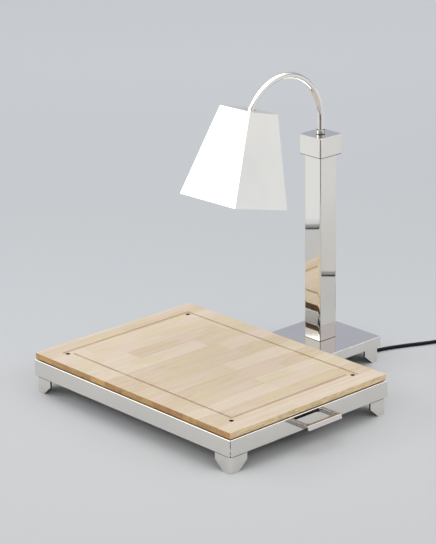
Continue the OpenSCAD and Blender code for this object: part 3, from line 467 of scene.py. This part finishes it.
class Maple:
    """Edge-glued maple: staves along Y in different tones, fine long grain on the faces and
    growth rings on the sawn ends"""

    def __init__(self, name):
        self.board = bpy.context.scene.station_board
        self.sheet = sheet = finish(name)
        self.place = sheet.place()
        self.x, self.y, self.z = sheet.split(self.place)
        cells = {"W": self.x + STAVE_START, "Scale": 1.0 / self.board.stave, "Randomness": STAVE_SPREAD}
        stave = sheet.node("ShaderNodeTexVoronoi", {"voronoi_dimensions": "1D", "feature": "F1"}, cells,
                           out="Color")
        self.glue = sheet.node("ShaderNodeTexVoronoi",
                               {"voronoi_dimensions": "1D", "feature": "DISTANCE_TO_EDGE"}, cells)
        self.first, self.second, self.third = sheet.split(stave)  # each stave's own three numbers
        joint = math.floor(self.y * 4.1 + self.second * 7.0)
        self.piece = sheet.node("ShaderNodeTexWhiteNoise", {"noise_dimensions": "2D"},
                                {"Vector": sheet.join(joint, self.first * 91.0, 0.0)})
        self.log = sheet.shift(self.place, sheet.join(
            self.first * 13.0, self.second * 5.0 + self.piece * 9.0, self.third * 17.0))
        self.sway = sheet.streaks(self.log, (9.0, 2.2, 9.0))
        bent = sheet.join(self.sway * 5.0, 0.0, self.sway * 5.0)
        long_grain = sheet.shift(sheet.stretch(self.log, (150.0, 3.2, 150.0)), bent)
        self.grain = sheet.noise(long_grain, 1.0, 4.0, 0.62)
        self.fibre = sheet.streaks(self.log, (1400.0, 22.0, 1400.0))
        self.fleck = sheet.streaks(self.log, (620.0, 90.0, 620.0), 1.0)

    def planed_faces(self):
        """Pale to warm staves with a pink or olive cast, small flecks and thin glue lines"""
        sheet, board = self.sheet, self.board
        mood = self.piece * 0.75 + self.third * 0.25
        depth = mood.rise(0.30, 0.98) * 0.58 + self.grain.rise(0.40, 0.72) * 0.32 + self.fibre * 0.12
        tone = sheet.mix(depth, board.pale, board.warm)
        hue = sheet.streaks(self.log, (24.0, 7.0, 24.0))
        tone = sheet.mix(hue.rise(0.51, 0.64) * 0.50, tone, PINK_CAST)
        tone = sheet.mix(hue.rise(0.49, 0.36) * 0.60, tone, OLIVE_CAST)
        tone = sheet.mix(self.fleck.rise(0.66, 0.74) * 0.22, tone, 0.62 * board.warm)
        return sheet.mix(self.glue.fall(0.006, 0.016) * 0.30, tone, 0.55 * board.warm)

    def sawn_ends(self):
        """Growth rings, pores, stained patches and glue lines, with painted shade on the back end"""
        sheet, board = self.sheet, self.board
        bent = sheet.join(0.0, 0.0, self.sway * 0.004)
        rings = sheet.node("ShaderNodeTexWave", {"wave_type": "RINGS", "rings_direction": "SPHERICAL"},
                           {"Vector": sheet.shift(sheet.stretch(self.log, (1.0, 0.0, 1.0)), bent),
                            "Scale": 95.0, "Distortion": 3.0, "Detail": 2.0, "Detail Scale": 2.0},
                           out="Fac")
        pores = sheet.streaks(self.log, (1700.0, 1.0, 1700.0))
        patch = sheet.streaks(self.log, (70.0, 1.0, 90.0), 3.0, 0.6)
        depth = rings * 0.22 + pores * 0.22 + self.third * 0.42 + patch.rise(0.4, 0.7) * 0.28
        tone = sheet.mix(depth, board.end_grain, 0.36 * board.end_grain)
        tone = sheet.mix(self.first.rise(0.5, 0.9) * 0.35, tone, RED_STAIN)
        tone = sheet.mix(self.glue.fall(0.01, 0.03) * 0.4, tone, 0.35 * board.end_grain)
        # Painted shade: the back end keeps only part of its colour
        return sheet.mix((self.y - FRAME_MID.y).rise(0.0, 0.1), tone, BACK_END_SHADE, "MULTIPLY")

    def oiled_sides(self):
        """Long edges mottled by oil"""
        sheet, board = self.sheet, self.board
        mottle = sheet.streaks(self.log, (60.0, 40.0, 220.0), 3.0, 0.6)
        depth = mottle.rise(0.35, 0.75) * 0.7 + self.grain.rise(0.4, 0.75) * 0.3
        return sheet.mix(depth, board.side, 0.5 * board.side)

    def dressed(self):
        """The whole board: faces, ends and sides, a groove with painted light on its floor and painted shade
        on its walls, and drains painted dark as shade
        """
        sheet, board = self.sheet, self.board
        across, along, upward = sheet.facing()
        from_x, from_y = abs(self.x - BOARD_MID.x), abs(self.y - BOARD_MID.y)
        near_end = abs(self.y - FRAME_MID.y).rise(*(FRAME_HALF.y - inset for inset in OUTER_FACE))
        ends = abs(along).rise(*STEEP) * near_end
        sides = abs(across).rise(*STEEP) * from_x.rise(*(BOARD_HALF.x - inset for inset in OUTER_FACE))
        tone = sheet.mix(sides, self.planed_faces(), self.oiled_sides())
        tone = sheet.mix(ends, tone, self.sawn_ends())
        walls = abs(upward).fall(0.3, 0.8) * (1.0 - sides) * (1.0 - ends)
        groove_mottle = sheet.streaks(self.place, (16.0, 16.0, 0.0))
        # Painted shade: darker groove walls, most on those that face along Y
        tone = sheet.mix(walls * abs(along) * groove_mottle.rise(0.25, 0.75) * 0.65, tone, 0.6 * board.warm)
        off_x = from_x - (BOARD_HALF.x - board.groove_inset)
        off_y = from_y - (BOARD_HALF.y - board.groove_inset)
        # Painted light: a paler groove floor
        sunk = (self.z - BOARD_HIGH.z).fall(*GROOVE_DEEP) * abs(off_x).fall(*GROOVE_SIDE)
        sunk = sunk * off_y.fall(*GROOVE_END)
        tone = sheet.mix(sunk * (0.10 + groove_mottle.rise(0.3, 0.7) * 0.18), tone, 1.35 * board.pale)
        # Painted shade: near black drain walls
        drain = (off_x * off_x + off_y * off_y).fall(board.drain ** 2, (board.drain + DRAIN_EDGE) ** 2)
        tone = sheet.mix(drain * walls, tone, DRAIN_SHADE)
        wet = sheet.noise(self.place, 16.0, 3.0)
        height = self.grain * 0.35 + self.fibre * 0.4 + self.fleck * 0.25
        return sheet.principled({"Base Color": tone, "Roughness": 0.42 + self.grain * 0.16 + wet * 0.10,
                                 "Specular IOR Level": 0.5, "Normal": sheet.bump(height, 0.12 * MM)})


def maple(name):
    return Maple(name).dressed()


# Plastic, china and glass

IRON_SPECK = (0.35, 0.28, 0.2)


def moulded(name, tint, rough, texture=1.0, gloss=0.42):
    """Moulded plastic or rubber: fine spark texture, soft scuffs and dust"""
    sheet = finish(name)
    place = sheet.place()
    spark = sheet.noise(place, 2600.0, 2.0, 0.6)
    scuff = sheet.noise(place, 70.0, 4.0, 0.6, 0.4)
    tone = sheet.mix(scuff.rise(0.5, 0.85) * 0.5 + spark * 0.15, tint,
                     [min(1.0, 1.5 * part + 0.025 * gloss) for part in tint])
    return sheet.principled({"Base Color": tone, "Roughness": rough + scuff * 0.14 + spark * 0.06,
                             "Specular IOR Level": gloss,
                             "Normal": sheet.bump(spark * texture + scuff * 0.2, 0.05 * MM)})


def china(name):
    """Glazed china: even glaze with slight orange peel and a few iron specks"""
    trim = bpy.context.scene.station_trim
    sheet = finish(name)
    place = sheet.place()
    peel = sheet.noise(place, 240.0)
    specks = sheet.noise(place, 900.0, 1.0)
    tone = sheet.mix(specks.rise(0.72, 0.78) * 0.5, trim.china, IRON_SPECK)
    return sheet.principled({"Base Color": tone, "Roughness": 0.14 + peel * 0.08, "Coat Weight": 0.6,
                             "Coat Roughness": 0.06, "Normal": sheet.bump(peel, 0.06 * MM)})


def frosted_glass(name):
    """Heat bulb: glass with an uneven frost on its inside"""
    trim = bpy.context.scene.station_trim
    sheet = finish(name)
    place = sheet.place()
    frost = sheet.noise(place, 420.0, 3.0, 0.6)
    bands = sheet.noise(place, 24.0)
    tone = sheet.mix(frost * 0.3 + bands * 0.3, trim.glass, 0.84 * trim.glass)
    return sheet.principled({"Base Color": tone, "Roughness": 0.28 + frost * 0.18, "IOR": 1.5,
                             "Transmission Weight": 0.35, "Coat Weight": 0.3, "Coat Roughness": 0.08,
                             "Normal": sheet.bump(frost, 0.04 * MM)})


def finishes():
    """The finish of each material slot, made once"""
    steel, trim = bpy.context.scene.station_steel, bpy.context.scene.station_trim
    makers = {
        "polished_steel": (mirror_steel, BUFFED),
        "pan_steel": (satin_steel,),
        "plated_fasteners": (plated_steel, steel.plating, 0.2),
        "plain_steel": (plated_steel, 0.2 * steel.plating, 0.34),
        "board_maple": (maple,),
        "black_plastic": (moulded, trim.black, 0.42),
        "red_plastic": (moulded, trim.red, 0.3, 0.4),
        "tie_plastic": (moulded, 1.6 * trim.black, 0.36, 0.5),
        "cord_rubber": (moulded, trim.rubber, 0.30, 0.8, 0.12),
        "contact_brass": (plated_steel, trim.brass, 0.24),
        "porcelain": (china,),
        "bulb_glass": (frosted_glass,),
    }
    return {slot: bpy.data.materials.get("dressed_" + slot) or make("dressed_" + slot, *how)
            for slot, (make, *how) in makers.items()}


def coat(names, material=None):
    """Gives solids that keep their shape the finish of their slot, or the one given"""
    table = finishes()
    for name in names:
        for slot in frame["nodes"][name].material_slots:
            slot.material = material or table[SLOT_OF[name]]


# Soft edges

SHARP, FLAT = math.radians(35), math.radians(0.3)
WELD = 0.002 * MM
CORNER_REACH, HOLE_EDGE = 3 * MM, 5 * MM
GROOVE_MARGIN, TOP_REACH = 10 * MM, 0.01 * MM
EDGE_STEPS, EVEN_WEIGHT = 3, 60


def from_middle(edge, middle):
    return (edge.verts[0].co + edge.verts[1].co) / 2 - middle


def everywhere(edge, middle, half):
    """Every sharp edge"""
    return True


def outside_folds(edge, middle, half):
    """Edges whose two faces look away from the piece's middle, but not those of small holes"""
    at = from_middle(edge, middle)
    if any(face.normal.dot(at) <= 0 for face in edge.link_faces):
        return False
    at_corner = abs(at.x) > half.x - CORNER_REACH and abs(at.y) > half.y - CORNER_REACH
    return at_corner or edge.calc_length() > HOLE_EDGE


def groove_edges(edge, middle, half):
    """Edges on the board's top face that lie inside its outline"""
    at = from_middle(edge, middle)
    inside = abs(at.x) < half.x - GROOVE_MARGIN and abs(at.y) < half.y - GROOVE_MARGIN
    return inside and all(abs(vert.co.z - middle.z - half.z) < TOP_REACH for vert in edge.verts)


def soften(name, rounds, material=None):
    """A copy of a solid with rounded edges, which stands for it: rounds = [(which edges, radius), ...]"""
    low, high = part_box(name)
    middle, half = halved(low, high)
    shape = bmesh.new()
    shape.from_mesh(frame["nodes"][name].data)
    bmesh.ops.remove_doubles(shape, verts=shape.verts, dist=WELD)
    bmesh.ops.dissolve_limit(shape, angle_limit=FLAT, verts=shape.verts, edges=shape.edges)
    for which, radius in rounds:
        shape.normal_update()
        edges = [edge for edge in shape.edges if len(edge.link_faces) == 2
                 and edge.calc_face_angle(0.0) > SHARP and which(edge, middle, half)]
        bmesh.ops.bevel(shape, geom=edges, offset=radius, segments=EDGE_STEPS, profile=0.5,
                        affect="EDGES", clamp_overlap=False)
    for vert in shape.verts:
        vert.co = [min(max(part, least), most) for part, least, most in zip(vert.co, low, high)]
    for face in shape.faces:
        face.smooth = True
    mesh = bpy.data.meshes.new(name + "_soft")
    shape.to_mesh(mesh)
    shape.free()
    mesh.set_sharp_from_angle(angle=SHARP)
    mesh.materials.append(material or finishes()[SLOT_OF[name]])
    piece = bpy.data.objects.new(name + "_soft", mesh)
    bpy.context.collection.objects.link(piece)
    even = piece.modifiers.new("even_faces", "WEIGHTED_NORMAL")
    even.keep_sharp = True
    even.weight = EVEN_WEIGHT
    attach(piece, BODY_OF[name])
    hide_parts(name)


# Cord

CORD_WAY = [  # in mm, from the middle of the lamp base's back edge
    (30, -29.2, 18), (33, -21.2, 18), (36, -13.2, 17), (39, -5.2, 13.5), (42, 2.8, 8), (45, 10.8, 3),
    (48, 18.8, 0.5), (51, 26.8, 0), (55, 40.8, 0), (60, 56.8, 0), (66, 72.8, 0), (73, 88.8, 0),
    (80, 104.8, 0), (88, 120.8, 0), (97, 138.8, 0), (105, 156.8, 0), (112, 176, 0), (116.5, 196, 0),
    (118.5, 216, 0.5), (119, 236, 1.5), (119.2, 247, 1.6),
]
COIL_TURNS_IN, COIL_TURNS_OUT, COIL_STEPS = 2.75, 2.5, 24
COIL_LEAD, COIL_TAIL, COIL_CLIMB = 8 * MM, 30 * MM, 0.25


def heading(bearing):
    return Vector((math.cos(bearing), math.sin(bearing), 0.0))


def cord_line():
    """Middle line of the cord: out of the strain relief, along the table, into the coil and to the plug"""
    cord = bpy.context.scene.station_cord
    back = Vector((STAND_MID.x, STAND_HIGH.y, cord.diameter / 2))
    line = [back + MM * Vector(point) for point in CORD_WAY]
    run = line[-1] - line[-2]
    course = math.atan2(run.y, run.x)
    outside = cord.inside + cord.pitch * COIL_TURNS_IN
    middle = line[-1] + COIL_LEAD * heading(course) + outside * heading(course - math.pi / 2)
    turns = COIL_TURNS_IN + COIL_TURNS_OUT
    for step in range(round(turns * COIL_STEPS) + 1):
        turn = step / COIL_STEPS - COIL_TURNS_IN
        climb = min(1.0, max(0.0, (turn + COIL_CLIMB) / (2 * COIL_CLIMB)))
        bearing = course + math.pi / 2 - math.tau * (turn + COIL_TURNS_IN)
        point = middle + (cord.inside + cord.pitch * abs(turn)) * heading(bearing)
        line.append(point + Vector((0.0, 0.0, cord.pitch * climb)))
    end, leaving = line[-1], heading(course - math.tau * turns)
    line += [end + COIL_TAIL * part / 3 * leaving for part in (1, 2, 3)]
    return line


def total(line):
    return sum((b - a).length for a, b in zip(line, line[1:]))


class STATION_OT_cord(bpy.types.Operator):
    """Lays the mains cord and finishes its strain relief, tie and plug"""
    bl_idname = "station.cord"
    bl_label = "Mains Cord"

    def execute(self, context):
        cord = context.scene.station_cord
        line = cord_line()
        curve = bpy.data.curves.new("mains_cord", "CURVE")
        curve.dimensions = "3D"
        curve.bevel_depth = cord.diameter / 2
        curve.bevel_resolution = 5
        curve.resolution_u = 4
        curve.use_fill_caps = True
        spline = curve.splines.new("BEZIER")
        spline.bezier_points.add(len(line) - 1)
        for point, at in zip(spline.bezier_points, line):
            point.co = at
            point.handle_left_type = point.handle_right_type = "AUTO"
        piece = bpy.data.objects.new("mains_cord", curve)
        curve.materials.append(finishes()["cord_rubber"])
        context.collection.objects.link(piece)
        coat(["strain_relief", "gland_nut", "cord_tie", "plug_body", "plug_blades"])
        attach(piece, BODY_OF["cord_lead"])
        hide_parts("cord_lead", "cord_coil")
        total(line)
        return {"FINISHED"}


# Pieces

class STATION_OT_carving_base(bpy.types.Operator):
    """Dresses the folded frame, its feet, handles and drip pan"""
    bl_idname = "station.carving_base"
    bl_label = "Carving Base"

    def execute(self, context):
        steel = context.scene.station_steel
        sheet = mirror_steel("frame_sheet", ROLLED, seams=(FRAME_MID, FRAME_HALF),
                             crown=(FRAME_LOW.y, FRAME_HIGH.z))
        soften("frame", [(outside_folds, steel.fold)], sheet)
        cast = mirror_steel("base_feet", BUFFED, joints=((FRAME_LOW.z, 2.2 * MM),), feet_middle=FRAME_MID)
        for corner in CORNERS:
            soften("foot_" + corner, [(everywhere, steel.edge)], cast)
        bar = mirror_steel("handle_bars", BUFFED, shaded_handle=True)
        for name in ("handle_left", "handle_right"):
            soften(name, [(everywhere, steel.edge)], bar)
        coat(["foot_screws", "handle_screws", "drip_pan", "pan_side_front", "pan_side_back", "pan_end_left",
              "pan_end_right"])
        return {"FINISHED"}


class STATION_OT_board(bpy.types.Operator):
    """Dresses the maple carving board"""
    bl_idname = "station.board"
    bl_label = "Carving Board"

    def execute(self, context):
        board = context.scene.station_board
        soften("carving_board", [(outside_folds, board.edge), (groove_edges, board.groove_edge)])
        return {"FINISHED"}


class STATION_OT_lamp_stand(bpy.types.Operator):
    """Dresses the lamp's base, post, cap and what they hold"""
    bl_idname = "station.lamp_stand"
    bl_label = "Lamp Stand"

    def execute(self, context):
        steel = context.scene.station_steel
        shell = mirror_steel("stand_sheet", ROLLED, seams=(STAND_MID, STAND_HALF))
        tube = mirror_steel("post_tube", DRAWN, pillow=(POST_MID, POST_HALF),
                            joints=((POST_LOW.z, 1.1 * MM),))
        block = mirror_steel("cap_block", BUFFED, joints=((CAP_LOW.z, 1.6 * MM),))
        cast = mirror_steel("stand_feet", BUFFED, joints=((STAND_LOW.z, 1.3 * MM),), feet_middle=STAND_MID)
        soften("lamp_base_shell", [(outside_folds, 0.4 * steel.fold)], shell)
        soften("post", [(outside_folds, 0.4 * steel.edge)], tube)
        soften("post_cap", [(outside_folds, steel.edge)], block)
        for corner in CORNERS:
            soften("lamp_foot_" + corner, [(everywhere, steel.edge)], cast)
        coat(["ballast_plate", "lamp_base_cover", "cover_spacers", "lamp_foot_screws", "terminal_block",
              "supply_wires", "post_locator", "tie_pipe", "tie_nut", "tie_washer", "arm_set_screw"])
        return {"FINISHED"}


class STATION_OT_switch(bpy.types.Operator):
    """Finishes the rocker switch"""
    bl_idname = "station.switch"
    bl_label = "Rocker Switch"

    def execute(self, context):
        coat(["switch_housing", "switch_rocker"])
        return {"FINISHED"}


class STATION_OT_arm(bpy.types.Operator):
    """Finishes the bent arm, its collar, end fitting and lead"""
    bl_idname = "station.arm"
    bl_label = "Bent Arm"

    def execute(self, context):
        ring = mirror_steel("collar_ring", BUFFED,
                            joints=((COLLAR_LOW.z, 1.3 * MM), (COLLAR_HIGH.z, 1.2 * MM)))
        coat(["arm_collar"], ring)
        coat(["arm_tube", "arm_end_fitting", "tilt_screws", "lamp_lead"])
        return {"FINISHED"}


class STATION_OT_shade(bpy.types.Operator):
    """Dresses the shade, its hanger, socket and heat bulb"""
    bl_idname = "station.shade"
    bl_label = "Shade and Bulb"

    def execute(self, context):
        steel = context.scene.station_steel
        soften("shade", [(outside_folds, 0.6 * steel.edge)])
        coat(["shade_hanger", "socket_screws", "lamp_socket", "socket_contact", "bulb_base", "bulb_glass"])
        return {"FINISHED"}


# Stage

FILM_WIDTH, CLIP_END = 36.0, 60.0
FLOOR_HALF, FLOOR_CELLS, FLOOR_DROP = 14.0, 8, 0.2 * MM
PAPER_MID, PAPER_HALF, PAPER_FRONT = 0.0955, 0.7455, 0.86  # middle, half width and front edge of the paper


class STATION_OT_stage(bpy.types.Operator):
    """Sets the camera, the paper floor, the soft lamps and the world"""
    bl_idname = "station.stage"
    bl_label = "Stage"

    def execute(self, context):
        stage = context.scene.station_stage
        self.set_camera(context, stage)
        self.lay_floor(context, stage)
        self.hang_lamps(context, stage)
        self.light_world(context, stage)
        context.scene.view_settings.view_transform = "Standard"
        return {"FINISHED"}

    @staticmethod
    def set_camera(context, stage):
        back = Vector((math.sin(stage.azimuth) * math.cos(stage.elevation),
                       -math.cos(stage.azimuth) * math.cos(stage.elevation), math.sin(stage.elevation)))
        right = (-back).cross(Vector((0.0, 0.0, 1.0))).normalized()
        up = right.cross(-back)
        turned = math.cos(stage.roll) * right + math.sin(stage.roll) * up
        upright = math.cos(stage.roll) * up - math.sin(stage.roll) * right
        at = Vector((FRAME_MID.x, FRAME_MID.y, 0.0)) + Vector(stage.aim) + stage.distance * back
        lens = bpy.data.cameras.new("camera")
        lens.lens = stage.lens
        lens.sensor_width = FILM_WIDTH
        lens.clip_end = CLIP_END
        camera = bpy.data.objects.new("camera", lens)
        axes = Matrix((turned, upright, back)).transposed().to_4x4()
        camera.matrix_world = Matrix.Translation(at) @ axes
        context.collection.objects.link(camera)
        context.scene.camera = camera

    @staticmethod
    def view_axes(sheet, stage, vector):
        """The parts of a vector towards the camera's side of the station, to its right and upwards"""
        x, y, z = sheet.split(vector)
        ahead = (math.sin(stage.azimuth), -math.cos(stage.azimuth))
        toward = x * ahead[0] + y * ahead[1]
        side = y * ahead[0] - x * ahead[1]
        return toward, side, z

    def lay_floor(self, context, stage):
        grid = bmesh.new()
        bmesh.ops.create_grid(grid, x_segments=FLOOR_CELLS, y_segments=FLOOR_CELLS, size=FLOOR_HALF)
        mesh = bpy.data.meshes.new("floor")
        grid.to_mesh(mesh)
        grid.free()
        mesh.materials.append(self.floor_paper(stage))
        floor = bpy.data.objects.new("floor", mesh)
        floor.location = (FRAME_MID.x, FRAME_MID.y, -FLOOR_DROP)
        context.collection.objects.link(floor)

    def floor_paper(self, stage):
        """Matt paper that runs out into the backdrop; past its edges and in front, glossy rays see a glowing
        painted reflection of the studio
        """
        sheet = finish("paper_floor")
        place = sheet.place()
        toward, side, _ = self.view_axes(sheet, stage, place)
        tooth = sheet.noise(place, 900.0)
        # Painted light and shade: the paper's tone shifts from the front to behind the station and grows
        # paler far behind
        near = sheet.mix(toward.rise(-0.9, 0.3), stage.middle, stage.floor)
        tone = sheet.mix(toward.rise(-1.0, -3.4), near, stage.far)
        paper = sheet.node("ShaderNodeBsdfDiffuse", None, {"Color": sheet.mix(tooth * 0.05, tone, grey(0.5))})
        away = (toward * toward + side * side) ** 0.5
        run_out = away.rise(4.6, 12.0) * sheet.ray("Is Camera Ray")
        swept = sheet.mix_shader(run_out, paper, sheet.emission(stage.floor))
        past = abs(side - PAPER_MID) - PAPER_HALF
        front = toward.rise(PAPER_FRONT, PAPER_FRONT + 0.05) * abs(side).fall(0.35, 0.6)
        front = front * toward.fall(2.6, 3.2)
        edge = past.rise(-2 * MM, 2 * MM) | front
        # Painted reflection: an emission that only glossy rays see
        beyond = sheet.emission(self.past_paper(sheet, side, past, front))
        return sheet.close(sheet.mix_shader(edge * sheet.ray("Is Glossy Ray"), swept, beyond))

    @staticmethod
    def past_paper(sheet, side, past, front):
        """Painted reflection, seen only in glossy rays: a dark line along the paper's edges, pale ground at
        both sides and dark ground in front
        """
        right = sheet.mix(past.rise(0.08, 0.85), grey(0.66), (0.76, 0.77, 0.79))
        right = sheet.mix(past.rise(0.7, 3.0), right, (0.875, 0.90, 0.93))
        left = sheet.mix(past.rise(0.05, 0.09), (0.74, 0.755, 0.78), (0.86, 0.88, 0.905))
        band = sheet.mix(past.rise(0.010, 0.016), grey(0.02), grey(0.34))
        glow = sheet.mix(past.rise(0.032, 0.042), band, sheet.mix(side.rise(-0.1, 0.1), left, right))
        return sheet.mix(front, glow, grey(0.03))

    @staticmethod
    def hang_lamps(context, stage):
        hangs = [
            ("overhead_lamp", stage.overhead, (2.0, 2.0), Vector((0.10, 0.12, 2.5)), Vector((0.0, 0.0, 0.0))),
            ("side_panel", stage.panel, (1.7, 0.85), Vector((-1.60, -1.45, 1.46)), Vector((0.0, 0.1, 0.5))),
        ]
        for name, watts, size, at, aim in hangs:
            lamp = bpy.data.lights.new(name, "AREA")
            lamp.shape = "RECTANGLE"
            lamp.size, lamp.size_y = size
            lamp.energy = watts
            hung = bpy.data.objects.new(name, lamp)
            hung.location = at
            hung.rotation_euler = (at - aim).to_track_quat("Z", "Y").to_euler()
            context.collection.objects.link(hung)

    def light_world(self, context, stage):
        """Polished steel mirrors the studio's walls, and a softer light falls on everything"""
        world = bpy.data.worlds.new("studio")
        context.scene.world = world
        sheet = Sheet(world, "ShaderNodeOutputWorld")
        ray = sheet.node("ShaderNodeTexCoord", out="Generated")
        toward, side, height = self.view_axes(sheet, stage, ray)
        level = (toward * toward + side * side + 0.0001) ** 0.5
        facing, lean = toward / level, (side / level).rise(-0.8, 0.8)
        light = sheet.mix(sheet.ray("Is Glossy Ray"), self.soft_light(sheet, facing, lean, height),
                          self.mirrored_walls(sheet, stage, facing, lean, height))
        shown = sheet.mix(sheet.ray("Is Camera Ray"), light, stage.floor)
        sheet.close(sheet.node("ShaderNodeBackground", None, {"Color": shown}))

    @staticmethod
    def mirrored_walls(sheet, stage, facing, lean, height):
        """Backdrop behind, pale sides, a dim front, and brighter bands above"""
        walls = sheet.node("ShaderNodeValToRGB", {"stops": [
            (0.0, stage.backdrop), (0.22, stage.backdrop), (0.42, grey(0.76)), (0.80, (0.78, 0.78, 0.77)),
            (0.90, grey(0.58)), (0.95, grey(0.32)), (1.0, grey(0.28))]}, {0: facing * 0.5 + 0.5})
        tint = sheet.mix(lean, grey(1.0), (0.84, 0.81, 0.87))
        tone = sheet.mix(1.0, walls, tint, "MULTIPLY")
        low = height.fall(0.06, 0.24) * lean * facing.rise(-0.7, -0.2)
        tone = sheet.mix(low, tone, (0.90, 0.91, 0.92))
        tone = sheet.mix(height.rise(0.40, 0.62), tone, (0.95, 0.94, 0.92))
        return sheet.mix(height.rise(0.62, 0.72), tone, (2.6, 2.57, 2.5))

    @staticmethod
    def soft_light(sheet, facing, lean, height):
        """Strongest from half height in front and at the right, weak near the floor and from behind"""
        low = sheet.mix(facing.rise(-0.2, 0.5) * (1.0 - lean), grey(0.06), (0.20, 0.197, 0.194))
        beside = sheet.mix(lean, (1.30, 1.29, 1.265), (1.66, 1.645, 1.62))
        before = sheet.mix(lean, (1.95, 1.93, 1.90), (2.66, 2.64, 2.595))
        high = sheet.mix(facing.rise(-0.2, 0.6), beside, before)
        light = sheet.mix(height.rise(0.22, 0.40 + lean * 0.16), low, high)
        light = sheet.mix(height.rise(0.45, 0.85), light, (0.58, 0.58, 0.59))
        behind = facing.rise(0.0, -0.8) * height.fall(0.5, 0.9)
        return sheet.mix(behind * 0.55, light, grey(0.1))


# Sidebar

OPERATORS = (STATION_OT_stage, STATION_OT_cord, STATION_OT_carving_base, STATION_OT_board,
             STATION_OT_lamp_stand, STATION_OT_switch, STATION_OT_arm, STATION_OT_shade)
SETTINGS = {"station_stage": StageSettings, "station_cord": CordSettings, "station_steel": SteelSettings,
            "station_board": BoardSettings, "station_trim": TrimSettings}


class STATION_PT_sidebar(bpy.types.Panel):
    """Lists the station's pieces and settings"""
    bl_idname = "STATION_PT_sidebar"
    bl_label = "Heated Carving Station"
    bl_space_type = "VIEW_3D"
    bl_region_type = "UI"
    bl_category = "Carving Station"

    def draw(self, context):
        for operator in OPERATORS:
            self.layout.operator(operator.bl_idname)
        for name, settings in SETTINGS.items():
            box = self.layout.box()
            box.label(text=settings.__doc__)
            for key in settings.__annotations__:
                box.prop(getattr(context.scene, name), key)


CLASSES = (*SETTINGS.values(), *OPERATORS, STATION_PT_sidebar)


def register():
    for made in CLASSES:
        bpy.utils.register_class(made)
    for name, settings in SETTINGS.items():
        setattr(bpy.types.Scene, name, PointerProperty(type=settings))


def unregister():
    for name in SETTINGS:
        delattr(bpy.types.Scene, name)
    for made in reversed(CLASSES):
        bpy.utils.unregister_class(made)


def main():
    register()
    bpy.ops.station.stage()
    bpy.ops.station.cord()
    bpy.ops.station.carving_base()
    bpy.ops.station.board()
    bpy.ops.station.lamp_stand()
    bpy.ops.station.switch()
    bpy.ops.station.arm()
    bpy.ops.station.shade()


if __name__ == "__main__":
    main()
